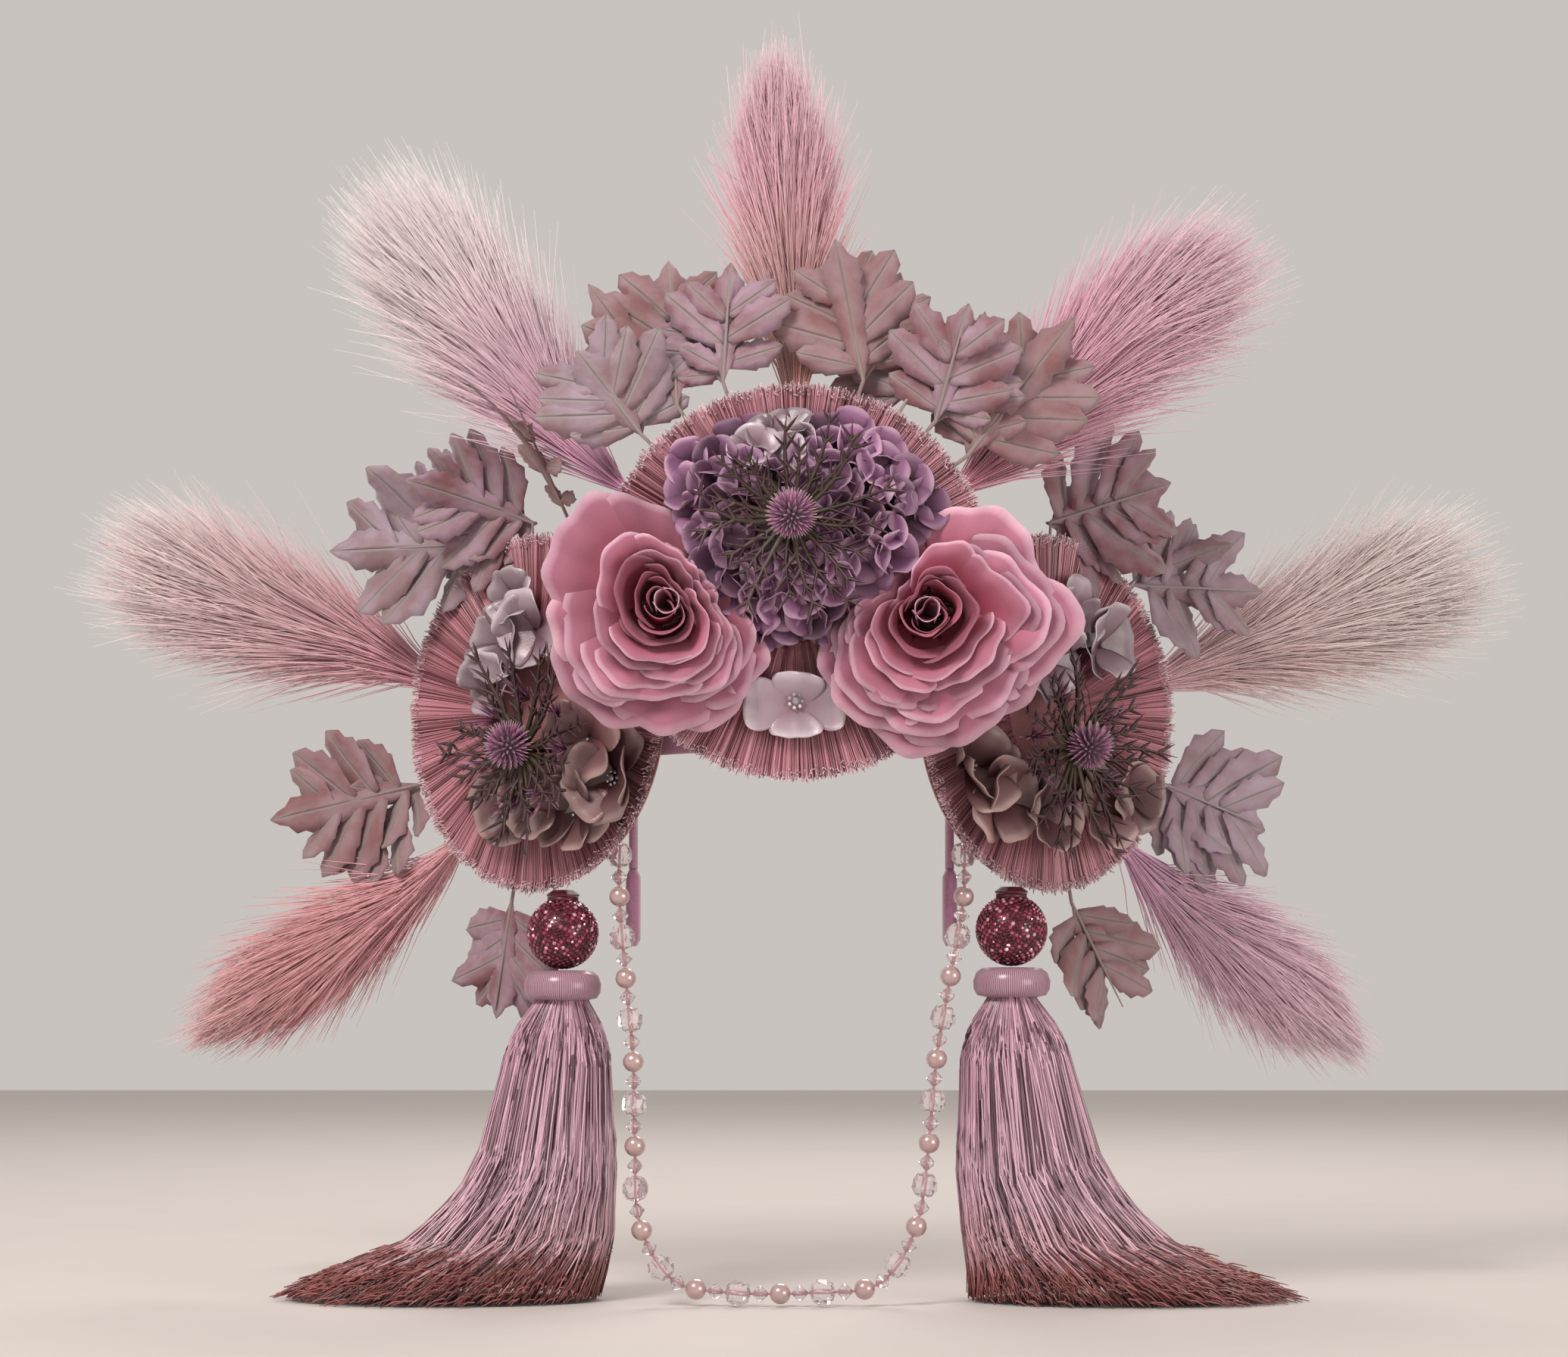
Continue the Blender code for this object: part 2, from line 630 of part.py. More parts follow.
def build_tassels():
    """A cap and a crystal ball under each side disc, a wound ring, and a skirt of strands."""
    for side, frame in disc_frames.items():
        if side not in SIDES:
            continue
        seat = TASSEL_SEAT[side]
        drop = math.sqrt(SIDE_DISC_RADIUS**2 - seat**2)
        x, y, rim = frame @ Vector((seat, -drop, DISC_WALL / 2))
        cap_top = rim - GAP - CAP_DROP
        turned(f"tassel_cap_{side}", CAP_OUTLINE, 10, CRYSTAL, (x, y, cap_top))
        ball_middle = cap_top + CAP_OUTLINE[-1][1] - GAP - BALL_RADIUS
        bpy.ops.mesh.primitive_uv_sphere_add(segments=14, ring_count=8, radius=BALL_RADIUS * MM)
        ball = bpy.context.object
        ball.name = f"tassel_ball_{side}"
        ball.location = Vector((x, y, ball_middle)) * MM
        finish(ball, CRYSTAL)
        ring_top = ball_middle - BALL_RADIUS - GAP
        turned(f"tassel_ring_{side}", RING_OUTLINE, 16, SATIN, (x, y, ring_top))
        build_skirt(side, x, y, ring_top + RING_OUTLINE[-1][1] - GAP)


# The bead string's route (x, y, z) below the side discs, and where its ends rest behind them
SWAG_END = 48.0
SWAG_ROUTE = (
    (-80.0, -34.0, -190.0), (-76.5, -36.0, -226.0),
    (-75.5, -38.0, -268.0), (-73.0, -41.0, -305.0), (-57.0, -45.0, -331.5), (-30.0, -48.0, -337.3),
    (10.0, -49.0, -337.3), (42.0, -47.0, -333.0), (60.0, -43.0, -306.0), (66.0, -40.0, -268.0),
    (70.0, -38.0, -226.0), (77.0, -36.0, -186.0),
)
# Bead kinds: length along the string, then the share of the length and the radius at each ring
BEAD_KINDS = {
    "crystal": (13.0, ((0.22, 6.3), (0.78, 6.3))),
    "pearl": (10.4, ((0.18, 4.2), (0.5, 5.2), (0.82, 4.2))),
    "bicone": (7.9, ((0.5, 4.0),)),
}
BEAD_ORDER = ("crystal", "bicone", "pearl", "bicone")
THREAD = 1.3


def build_swag():
    """One fused string: large crystals, bicones and pearls in turn, with thread between them."""
    sides = 10
    behind = -BEAD_KINDS["crystal"][1][0][1] - 2 * GAP
    ends = {
        side: [disc_frames[side] @ Vector((-sign * SWAG_END, v, behind)) for v in (-64, -92)]
        for side, sign in SIDES.items()
    }
    route = smooth_points([*ends["left"], *SWAG_ROUTE, *ends["right"][::-1]], 8)
    lengths = [0.0]
    for a, b in zip(route, route[1:]):
        lengths.append(lengths[-1] + (b - a).length)

    def at(distance):
        k = 0
        while k < len(lengths) - 2 and lengths[k + 1] < distance:
            k += 1
        share = (distance - lengths[k]) / (lengths[k + 1] - lengths[k])
        return route[k].lerp(route[k + 1], min(1, share))

    pattern = sum(BEAD_KINDS[kind][0] for kind in BEAD_ORDER)
    repeats = round((lengths[-1] - BEAD_KINDS["crystal"][0]) / pattern)
    order = list(BEAD_ORDER) * repeats + ["crystal"]
    scale = lengths[-1] / (repeats * pattern + BEAD_KINDS["crystal"][0])
    points = [at(0)]
    radii = [THREAD]
    done = 0.0
    for kind in order:
        length, rings = BEAD_KINDS[kind]
        for share, radius in rings:
            points.append(at((done + share * length) * scale))
            radii.append(radius)
        done += length
        points.append(at(done * scale))
        radii.append(THREAD)
    rings = swept_rings(points, radii, sides)
    ring_body("bead_swag", [points[0], *rings, points[-1]], BEADS)


build_headband()
build_sleeves()
build_backing()
build_discs()
build_roses()
build_hydrangea()
build_small_flowers()
build_thistles()
build_plumes()
build_leaves()
build_tassels()
build_swag()
for piece in parts.objects:
    if piece.name.startswith(("plume", "bead", "tassel_skirt")):
        cage = bmesh.new()
        cage.from_mesh(piece.data)
        bmesh.ops.recalc_face_normals(cage, faces=cage.faces)
        cage.to_mesh(piece.data)
        cage.free()
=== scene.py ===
# %% [markdown]
# # A floral kokoshnik, dressed for its portrait
#
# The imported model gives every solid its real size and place. This lesson keeps those places and makes
# what the eye sees: satin fringe, silk petals, grass plumes, cut leaves, tassels and glass beads.
# The frame is in metres, +Z is up and the front faces -Y.

# %% Load the frame
import json
import math

import bmesh
import bpy
import numpy as np
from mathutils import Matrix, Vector

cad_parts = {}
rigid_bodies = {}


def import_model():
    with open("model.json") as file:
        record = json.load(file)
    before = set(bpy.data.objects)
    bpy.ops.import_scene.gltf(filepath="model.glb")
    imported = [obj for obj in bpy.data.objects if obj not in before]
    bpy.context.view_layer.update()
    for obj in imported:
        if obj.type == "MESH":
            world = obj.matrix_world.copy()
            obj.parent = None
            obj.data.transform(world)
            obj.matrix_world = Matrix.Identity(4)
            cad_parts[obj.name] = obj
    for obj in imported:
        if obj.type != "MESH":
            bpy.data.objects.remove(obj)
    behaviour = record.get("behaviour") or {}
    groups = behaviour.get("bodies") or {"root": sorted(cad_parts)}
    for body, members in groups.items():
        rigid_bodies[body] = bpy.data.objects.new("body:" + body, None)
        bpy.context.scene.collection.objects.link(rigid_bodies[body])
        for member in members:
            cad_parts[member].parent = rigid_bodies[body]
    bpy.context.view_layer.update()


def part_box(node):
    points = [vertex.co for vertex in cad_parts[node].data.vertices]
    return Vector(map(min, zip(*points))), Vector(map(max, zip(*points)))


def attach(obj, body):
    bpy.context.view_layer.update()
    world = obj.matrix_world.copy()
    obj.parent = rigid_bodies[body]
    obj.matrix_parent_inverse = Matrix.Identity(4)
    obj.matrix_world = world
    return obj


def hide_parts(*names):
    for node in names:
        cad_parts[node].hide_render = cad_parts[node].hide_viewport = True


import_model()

MM = 0.001

# %% [markdown]
# ## Small helpers
#
# A colour is written as an sRGB hex value, as a painter would note it, and one function makes it
# linear for the shader. One small function adds any node with its settings and its links.


# %% Colour and node helpers
def linear(hex_colour):
    channels = [int(hex_colour[i : i + 2], 16) / 255 for i in (1, 3, 5)]
    return [c / 12.92 if c <= 0.04045 else ((c + 0.055) / 1.055) ** 2.4 for c in channels] + [1.0]


def open_socket(sockets, name):
    """The live socket of that name or number: a Mix node has several of one name, and only one is in use."""
    return sockets[name] if isinstance(name, int) else next(s for s in sockets if s.enabled and s.name == name)


def add(tree, kind, settings=None, **links):
    """Adds a node with its settings and links. A node given as a link stands for its first live output."""
    node = tree.nodes.new(kind)
    for name, value in (settings or {}).items():
        if name == "stops":
            for index, (place, colour) in enumerate(value):
                stop = node.color_ramp.elements[index] if index < 2 else node.color_ramp.elements.new(place)
                stop.position, stop.color = place, linear(colour)
        elif isinstance(name, str) and hasattr(node, name):
            setattr(node, name, value)
        else:
            open_socket(node.inputs, name).default_value = linear(value) if str(value)[0] == "#" else value
    for name, source in links.items():
        source = next(s for s in source.outputs if s.enabled) if hasattr(source, "outputs") else source
        tree.links.new(source, open_socket(node.inputs, name.replace("_", " ")))
    return node


def blank_material(name, **constants):
    """A Principled material with its tree and its place in space. Constants go on the shader's own sockets."""
    made = bpy.data.materials.new(name)
    made.use_nodes = True
    tree = made.node_tree
    for key, value in constants.items():
        tree.nodes["Principled BSDF"].inputs[key.replace("_", " ")].default_value = value
    return made, tree, add(tree, "ShaderNodeTexCoord").outputs["Object"]


def shaded(tree, colour, relief=None, deep_mm=0.0, strength=0.8):
    """Gives the shader its colour, and a fine relief."""
    inputs = tree.nodes["Principled BSDF"].inputs
    tree.links.new(colour, inputs["Base Color"])
    if deep_mm:
        bump = add(tree, "ShaderNodeBump", {"Strength": strength, "Distance": deep_mm * MM}, Height=relief)
        tree.links.new(bump.outputs["Normal"], inputs["Normal"])


print("colour and node helpers ready")


# %% [markdown]
# ## Mesh helpers
#
# Most pieces are many small surfaces with a rule behind them. A `Heap` gathers their points, faces and
# per-point values, and turns them into one mesh whose object sits at the origin.


# %% Gathering points and faces
class Heap:
    """Points in millimetres, faces and named per-point values of one piece."""

    def __init__(self):
        self.points, self.faces, self.edges, self.values, self.count = [], [], [], {}, 0

    def add(self, points, faces=(), edges=(), **values):
        points = np.asarray(points, float).reshape(-1, 3)
        self.points.append(points)
        self.faces += [[i + self.count for i in face] for face in faces]
        self.edges += [(a + self.count, b + self.count) for a, b in edges]
        for name, value in values.items():
            shape = (len(points), 3) if name == "heading" else (len(points),)
            value = np.asarray(value, float)
            value = value.reshape(shape) if value.size == math.prod(shape) else np.broadcast_to(value, shape)
            self.values.setdefault(name, []).append(value)
        self.count += len(points)

    def object(self, name, finish=None, smooth=True):
        mesh = bpy.data.meshes.new(name)
        mesh.from_pydata(np.concatenate(self.points) * MM, self.edges, self.faces)
        for key, rows in self.values.items():
            kind, field = ("FLOAT_VECTOR", "vector") if key == "heading" else ("FLOAT", "value")
            data = mesh.attributes.new(key, kind, "POINT")
            data.data.foreach_set(field, np.concatenate(rows).astype(np.float32).ravel())
        if smooth and self.faces:
            mesh.shade_smooth()
        made = bpy.data.objects.new(name, mesh)
        bpy.context.scene.collection.objects.link(made)
        if finish:
            mesh.materials.append(finish)
        return made


def grid_faces(rows, columns, closed=False):
    """Quads of a grid of points; `closed` joins the last column to the first."""
    quads = []
    for r in range(rows - 1):
        for c in range(columns if closed else columns - 1):
            low, high, after = r * columns, (r + 1) * columns, (c + 1) % columns
            quads.append((low + c, low + after, high + after, high + c))
    return quads


def grid_runs(rows, columns):
    """The two runs of a sheet's grid: from root to lip, and from edge to edge."""
    return np.linspace(0, 1, rows)[:, None], np.linspace(-1, 1, columns)[None, :]


def tube_faces(rows, sides):
    """Faces of a tube of rings, with a cap at both ends."""
    last = (rows - 1) * sides
    return grid_faces(rows, sides, closed=True) + [tuple(range(sides))[::-1], tuple(last + i for i in range(sides))]


def polar(radius, angle, rise):
    """Points at a radius and an angle round Z, and at a height."""
    return np.stack(np.broadcast_arrays(radius * np.cos(angle), radius * np.sin(angle), rise), axis=-1)


def unit(vectors):
    """The direction of a vector, or of each row of an array of them."""
    vectors = np.asarray(vectors, float)
    return vectors / np.maximum(np.linalg.norm(vectors, axis=-1, keepdims=True), 1e-9)


def looked_up(at, run, rows):
    """Rows of numbers that are known along `run`, read between them at the places `at`."""
    return np.stack([np.interp(at, run, column) for column in np.transpose(rows)], axis=-1)


def box_mm(node):
    """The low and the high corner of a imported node, in millimetres."""
    return [np.array(corner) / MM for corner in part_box(node)]


def applied(obj):
    """Replaces an object's mesh by its evaluated one, so that no modifier is left on it."""
    graph = bpy.context.evaluated_depsgraph_get()
    graph.update()
    result = bpy.data.meshes.new_from_object(obj.evaluated_get(graph))
    old = obj.data
    obj.modifiers.clear()
    obj.data = result
    if old.users == 0:
        bpy.data.meshes.remove(old)
    return obj


def walled(obj, wall_mm=0.5, levels=1):
    """Rounds an open surface by subdivision, and gives it a wall."""
    if levels:
        soft = obj.modifiers.new("soft", "SUBSURF")
        soft.levels = soft.render_levels = levels
    wall = obj.modifiers.new("wall", "SOLIDIFY")
    wall.thickness, wall.offset = wall_mm * MM, 0.0
    return applied(obj)


pieces = {}


def place_piece(piece, slot, *nodes):
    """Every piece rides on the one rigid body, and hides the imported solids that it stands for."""
    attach(piece, "root")
    if nodes:
        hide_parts(*nodes)
    pieces[piece.name] = sum(len(p.vertices) - 2 for p in piece.data.polygons)
    print(f"{piece.name}: {pieces[piece.name]} triangles")


# %% [markdown]
# ## Materials
#
# Each finish starts from what the real one is: dyed viscose satin, starched silk, matt felt, cut glass.
# Fibres, petals and leaves carry their own values: `along` runs from root to tip, `tone` is a small difference between
# one and the next, and `vein` marks a leaf's veins. On the roses `along` also carries painted shade, and `tone` carries
# painted shade between locks of strands and in a wound ring's grooves. The colour follows the piece, and never the
# camera.


# %% Fibre, petal and leaf finishes
CLOUD_MM = 14.0
WEAVE_DEEP_MM = 0.2
CREASE_DEEP_MM = 0.5


def dyed(name, stops, blotch=None, weave_mm=0.0, darkest="#c0c0c0", **constants):
    """Colour from root to tip, cloudy patches of a second dye, and a tone for each fibre or petal."""
    made, tree, where = blank_material(name, **constants)
    along, own = (
        add(tree, "ShaderNodeAttribute", {"attribute_name": value}).outputs["Fac"] for value in ("along", "tone")
    )
    colour = add(tree, "ShaderNodeValToRGB", {"stops": stops}, Fac=along)
    if blotch:
        cloud = add(tree, "ShaderNodeTexNoise", {"Scale": 1 / (CLOUD_MM * MM), "Detail": 4.0}, Vector=where)
        patch = add(tree, "ShaderNodeValToRGB", {"stops": [(0.45, "#000000"), (0.75, "#909090")]}, Fac=cloud)
        colour = add(tree, "ShaderNodeMix", {"data_type": "RGBA", "B": blotch}, Factor=patch, A=colour)
    tone = add(tree, "ShaderNodeValToRGB", {"stops": [(0.0, darkest), (1.0, "#ffffff")]}, Fac=own)
    both = add(tree, "ShaderNodeMix", {"data_type": "RGBA", "blend_type": "MULTIPLY", "Factor": 1.0}, A=colour, B=tone)
    if weave_mm:
        weave = add(tree, "ShaderNodeTexNoise", {"Scale": 1 / (weave_mm * MM), "Detail": 2.0}, Vector=where)
        shaded(tree, both.outputs[2], weave, WEAVE_DEEP_MM, 0.6)
    else:
        shaded(tree, both.outputs[2])
    return made


# Viscose satin is smooth, so it catches long highlights
FRINGE_STOPS = [(0.0, "#8c4652"), (0.5, "#cd8a96"), (0.85, "#eab6c4"), (1.0, "#fbe6ec")]
fringe_satin = dyed("viscose_satin_fringe", FRINGE_STOPS, darkest="#8c6a70", Roughness=0.26,
                    Sheen_Weight=0.1)
SKIRT_STOPS = [(0.0, "#dcadc0"), (0.45, "#f0c8da"), (0.64, "#e8bac4"), (0.82, "#b46e6c"), (1.0, "#96524e")]
skirt_satin = dyed("viscose_tassel_strands", SKIRT_STOPS, darkest="#523840", Roughness=0.24,
                   Sheen_Weight=0.1)
# Grass plumes are matt and fine, and their dye thins out to the tips
PLUME_DYES = {
    "plume_top": [(0.0, "#ecaca0"), (0.4, "#ecb4b0"), (0.7, "#f4bcd0"), (1.0, "#fbe6ec")],
    "plume_upper_left": [(0.0, "#e894ca"), (0.35, "#f2bcd6"), (0.65, "#f2dfe4"), (1.0, "#f8f3f2")],
    "plume_upper_right": [(0.0, "#de7f98"), (0.35, "#f0a0be"), (0.7, "#f4c2d6"), (1.0, "#fae3ea")],
    "plume_mid_left": [(0.0, "#e08aa2"), (0.35, "#efb6c0"), (0.7, "#f2d8da"), (1.0, "#faf3f1")],
    "plume_mid_right": [(0.0, "#efb0bc"), (0.35, "#f6d0d2"), (0.7, "#f8e6e4"), (1.0, "#fdf7f5")],
    "plume_lower_left": [(0.0, "#f6b4be"), (0.4, "#f0aab2"), (0.75, "#e6a8ac"), (1.0, "#f6dedd")],
    "plume_lower_right": [(0.0, "#f2b2e2"), (0.4, "#f6c4de"), (0.75, "#f6cede"), (1.0, "#fbe8f0")],
}
plume_fibre = {
    name: dyed(f"dyed_grass_{name}", stops, darkest="#d2d2d2", Roughness=0.6, Sheen_Weight=0.8)
    for name, stops in PLUME_DYES.items()
}
# Starched silk, pressed over an iron. The rose's pink carries painted shade, darkest just below each lip and in the
# heart; the lilac runs from near black at each petal's root to pale at its lip
ROSE_DYE_AND_SHADE_STOPS = [(0.0, "#e4547a"), (0.3, "#c8607a"), (0.62, "#ac5c72"), (0.9, "#b5728a"), (1.0, "#e8bccf")]
rose_silk = dyed("dyed_rose_silk_with_painted_shade", ROSE_DYE_AND_SHADE_STOPS, "#93506a", 0.6, "#84747a", Roughness=0.7,
                 Sheen_Weight=0.1)
LILAC_STOPS = [(0.0, "#2c1020"), (0.35, "#66385a"), (0.75, "#97668e"), (1.0, "#d0aac6")]
lilac_silk = dyed("dyed_lilac_silk", LILAC_STOPS, "#743c5c", 0.6, "#7c7078", Roughness=0.7,
                  Sheen_Weight=0.1)
PEARL_STOPS = [(0.0, "#462830"), (0.35, "#82626c"), (0.8, "#a8949f"), (1.0, "#d4c6ce")]
pearl_silk = dyed("pearl_coated_silk", PEARL_STOPS, "#8b6f84", 0.9, "#b0b0b0", Roughness=0.33,
                  Coat_Weight=0.4, Coat_Roughness=0.3)
TAUPE_STOPS = [(0.0, "#2c1214"), (0.35, "#663c42"), (0.8, "#8e6a6b"), (1.0, "#c8aaa6")]
taupe_silk = dyed("taupe_satin_petal", TAUPE_STOPS, "#855c64", 0.9, "#a0a0a0", Roughness=0.4,
                  Coat_Weight=0.2, Coat_Roughness=0.3)
THISTLE_STOPS = [(0.0, "#4a2040"), (0.45, "#9a5684"), (0.8, "#c88fae"), (1.0, "#f4dae6")]
thistle_foam = dyed("flocked_thistle_spines", THISTLE_STOPS, Roughness=0.7, Sheen_Weight=0.4)
BRACT_STOPS = [(0.0, "#5e5e42"), (0.35, "#4e4034"), (0.75, "#4c2c36"), (1.0, "#7c5264")]
bract_plastic = dyed("moulded_bract", BRACT_STOPS, Roughness=0.5)
TUFT_STOPS = [(0.0, "#5f5a40"), (0.4, "#94507c"), (1.0, "#d9a4c4")]
tuft_plastic = dyed("moulded_heather_tuft", TUFT_STOPS, Roughness=0.5)


def printed_leaf(name, body, bloom, vein, red):
    """Leaf cloth in two browns with a lilac-grey bloom, red spots and grey veins."""
    made, tree, where = blank_material(name, Roughness=0.68, Sheen_Weight=0.25)
    cloud = add(tree, "ShaderNodeTexNoise", {"Scale": 1 / (22 * MM), "Detail": 4.0}, Vector=where)
    mask = add(tree, "ShaderNodeValToRGB", {"stops": [(0.38, "#000000"), (0.62, "#ffffff")]}, Fac=cloud)
    colour = add(tree, "ShaderNodeMix", {"data_type": "RGBA", "A": body, "B": bloom}, Factor=mask)
    grain = add(tree, "ShaderNodeTexNoise", {"Scale": 1 / (9 * MM), "Detail": 3.0}, Vector=where)
    spots = add(tree, "ShaderNodeValToRGB", {"stops": [(0.6, "#000000"), (0.72, "#a0a0a0")]}, Fac=grain)
    colour = add(tree, "ShaderNodeMix", {"data_type": "RGBA", "B": red}, Factor=spots, A=colour)
    veins = add(tree, "ShaderNodeAttribute", {"attribute_name": "vein"}).outputs["Fac"]
    colour = add(tree, "ShaderNodeMix", {"data_type": "RGBA", "B": vein}, Factor=veins, A=colour)
    crease = add(tree, "ShaderNodeMath", {"operation": "MULTIPLY_ADD", 1: -1.5}, **{"Value": veins})
    tree.links.new(grain.outputs["Fac"], crease.inputs[2])
    shaded(tree, colour.outputs[2], crease, CREASE_DEEP_MM)
    return made


leaf_cloths = [
    printed_leaf("leaf_cloth_mauve", "#7a4d53", "#9c8090", "#8f7f80", "#74333a"),
    printed_leaf("leaf_cloth_brown", "#7e5456", "#93757c", "#8d7c7a", "#7c3434"),
    printed_leaf("leaf_cloth_grey", "#85696f", "#a08c9a", "#948689", "#804c56"),
]
print("fibre, petal and leaf finishes made")

# %% [markdown]
# Felt is a mat of wool: rough, with a soft sheen. Cut glass is clear and smooth, a foil-backed stone throws light back,
# partly by its metal finish and partly as painted glints, and a pearl has a thin clear lacquer over a warm base.


# %% Felt, glass and pearl finishes
def clouded(name, first, second, grain_mm, bump_mm=0.0, **constants):
    """Two tones mixed by a fine grain, which also roughens the surface."""
    made, tree, where = blank_material(name, **constants)
    grain = add(tree, "ShaderNodeTexNoise", {"Scale": 1 / (grain_mm * MM), "Detail": 5.0}, Vector=where)
    colour = add(tree, "ShaderNodeMix", {"data_type": "RGBA", "A": first, "B": second}, Factor=grain)
    shaded(tree, colour.outputs[2], grain, bump_mm)
    return made


def foiled(name, stops):
    """A foil-backed stone: a random tone picks its colour, and the brightest stops are painted glints, the light of its
    foil painted in.
    """
    made, tree, _ = blank_material(name, Roughness=0.15, Metallic=0.5, Coat_Weight=1.0, Coat_Roughness=0.03)
    own = add(tree, "ShaderNodeAttribute", {"attribute_name": "tone"}).outputs["Fac"]
    shaded(tree, add(tree, "ShaderNodeValToRGB", {"stops": stops}, Fac=own).outputs["Color"])
    return made


band_felt = clouded("mauve_wool_felt", "#8a5a76", "#bd8aa6", 1.2, 0.3, Roughness=0.95, Sheen_Weight=0.5)
base_felt = clouded("rose_wool_felt", "#8a5456", "#a87072", 1.2, 0.3, Roughness=0.95, Sheen_Weight=0.5)
clear_crystal = clouded("clear_cut_glass", "#f0dfe0", "#ffffff", 6.0, Roughness=0.03, IOR=1.55,
                        Transmission_Weight=0.85)
pearl_lacquer = clouded("rose_pearl_lacquer", "#b09391", "#c9afac", 6.0, Roughness=0.22, Metallic=0.35,
                        Coat_Weight=0.8, Coat_Roughness=0.08)
ruby_resin = clouded("ruby_resin_ball", "#3f0e18", "#5c1a28", 3.0, Roughness=0.35)
pink_thread = clouded("pink_nylon_thread", "#b87888", "#cf96a4", 2.0, Roughness=0.5)
# Painted glints: the pale top stops of both stones stand for light thrown back by the foil, and each stone's random
# tone picks one
RUBY_STOPS_WITH_PAINTED_GLINTS = [(0.0, "#36081a"), (0.55, "#761a34"), (0.8, "#a03c5c"), (0.92, "#cc6c8c"), (1.0, "#f4c4d6")]
ruby_gem = foiled("foiled_ruby_gem_painted_glints", RUBY_STOPS_WITH_PAINTED_GLINTS)
clear_gem = foiled("foiled_clear_gem_painted_glints", [(0.0, "#8f8a8d"), (0.6, "#c9c4c6"), (1.0, "#f4f0f0")])
print("felt, glass and pearl finishes made")

# %% [markdown]
# ## Fibres by Geometry Nodes
#
# Fringe, plumes, tassels and thistle spines are one idea: a path with a little thickness. Python lays
# out the paths with a radius at each point, and one node tree turns each path into a closed fibre.
# Three sides are enough, because a fibre is thinner than a pixel.


# %% The fibre tree
def new_tree(name, **sockets):
    """A Geometry Nodes tree with a Geometry input and output and the named inputs."""
    tree = bpy.data.node_groups.new(name, "GeometryNodeTree")
    tree.interface.new_socket("Geometry", in_out="INPUT", socket_type="NodeSocketGeometry")
    for label, kind in sockets.items():
        tree.interface.new_socket(label, in_out="INPUT", socket_type=f"NodeSocket{kind}")
    tree.interface.new_socket("Geometry", in_out="OUTPUT", socket_type="NodeSocketGeometry")
    return tree, add(tree, "NodeGroupInput").outputs


def closing(tree, geometry, finish):
    """Ends a tree: real geometry, its material, and the output."""
    real = add(tree, "GeometryNodeRealizeInstances", Geometry=geometry)
    dressed = add(tree, "GeometryNodeSetMaterial", Geometry=real, Material=finish)
    add(tree, "NodeGroupOutput", Geometry=dressed)
    return tree


def fibre_tree():
    tree, given = new_tree("fibres_along_paths", Sides="Int", Finish="Material")
    paths = add(tree, "GeometryNodeMeshToCurve", Mesh=given["Geometry"])
    radius = add(tree, "GeometryNodeInputNamedAttribute", {"data_type": "FLOAT", "Name": "radius_m"})
    ring = add(tree, "GeometryNodeCurvePrimitiveCircle", {"Radius": 1.0}, Resolution=given["Sides"])
    body = add(tree, "GeometryNodeCurveToMesh", {"Fill Caps": True}, Curve=paths, Profile_Curve=ring,
               Scale=radius)
    return closing(tree, body, given["Finish"])


FIBRES = fibre_tree()


def grown(obj, tree, **values):
    """Runs a node tree on an object and keeps the plain mesh that it makes."""
    modifier = obj.modifiers.new(tree.name, "NODES")
    modifier.node_group = tree
    for item in tree.interface.items_tree:
        if item.in_out == "INPUT" and item.name in values:
            modifier[item.identifier] = values[item.name]
    return applied(obj)


def lay_fibres(heap, paths, radii, tones, start=0.0, end=1.0):
    """Adds paths (count, steps, 3), in mm, with their radii, and a tone for each path."""
    paths = np.asarray(paths, float)
    count, steps, _ = paths.shape
    index = np.arange(count * steps).reshape(count, steps)
    edges = np.stack([index[:, :-1].ravel(), index[:, 1:].ravel()], axis=1)
    heap.add(paths, edges=edges.tolist(), radius_m=np.broadcast_to(radii, (count, steps)) * MM,
             along=np.broadcast_to(np.linspace(start, end, steps), (count, steps)),
             tone=np.repeat(tones, steps))


def fibres(name, heap, finish, sides=3):
    made = grown(heap.object(name), FIBRES, Sides=sides, Finish=finish)
    made.data.shade_smooth()
    return made


print("fibre tree ready")

# %% [markdown]
# Stones, spines and beads are one small shape repeated. A second tree sets a copy of a pattern on every point, turned
# to the point's own heading, and gives each copy a random tone, so that no two stones look alike; on foil-backed stones
# the brightest tones are painted glints.


# %% The copies tree
def copies_tree():
    tree, given = new_tree("copies_on_points", Pattern="Object", Seed="Int", Finish="Material")
    heading = add(tree, "GeometryNodeInputNamedAttribute", {"data_type": "FLOAT_VECTOR", "Name": "heading"})
    size = add(tree, "GeometryNodeInputNamedAttribute", {"data_type": "FLOAT", "Name": "size"})
    turned_out = add(tree, "FunctionNodeAlignRotationToVector", {"axis": "Z"}, Vector=heading)
    shape = add(tree, "GeometryNodeObjectInfo", Object=given["Pattern"])
    placed = add(tree, "GeometryNodeInstanceOnPoints", Points=given["Geometry"],
                 Instance=shape.outputs["Geometry"], Rotation=turned_out, Scale=size)
    own = add(tree, "FunctionNodeRandomValue", {"data_type": "FLOAT"}, Seed=given["Seed"])
    toned = add(tree, "GeometryNodeStoreNamedAttribute",
                {"data_type": "FLOAT", "domain": "INSTANCE", "Name": "tone"}, Geometry=placed, Value=own)
    return closing(tree, toned, given["Finish"])


COPIES = copies_tree()


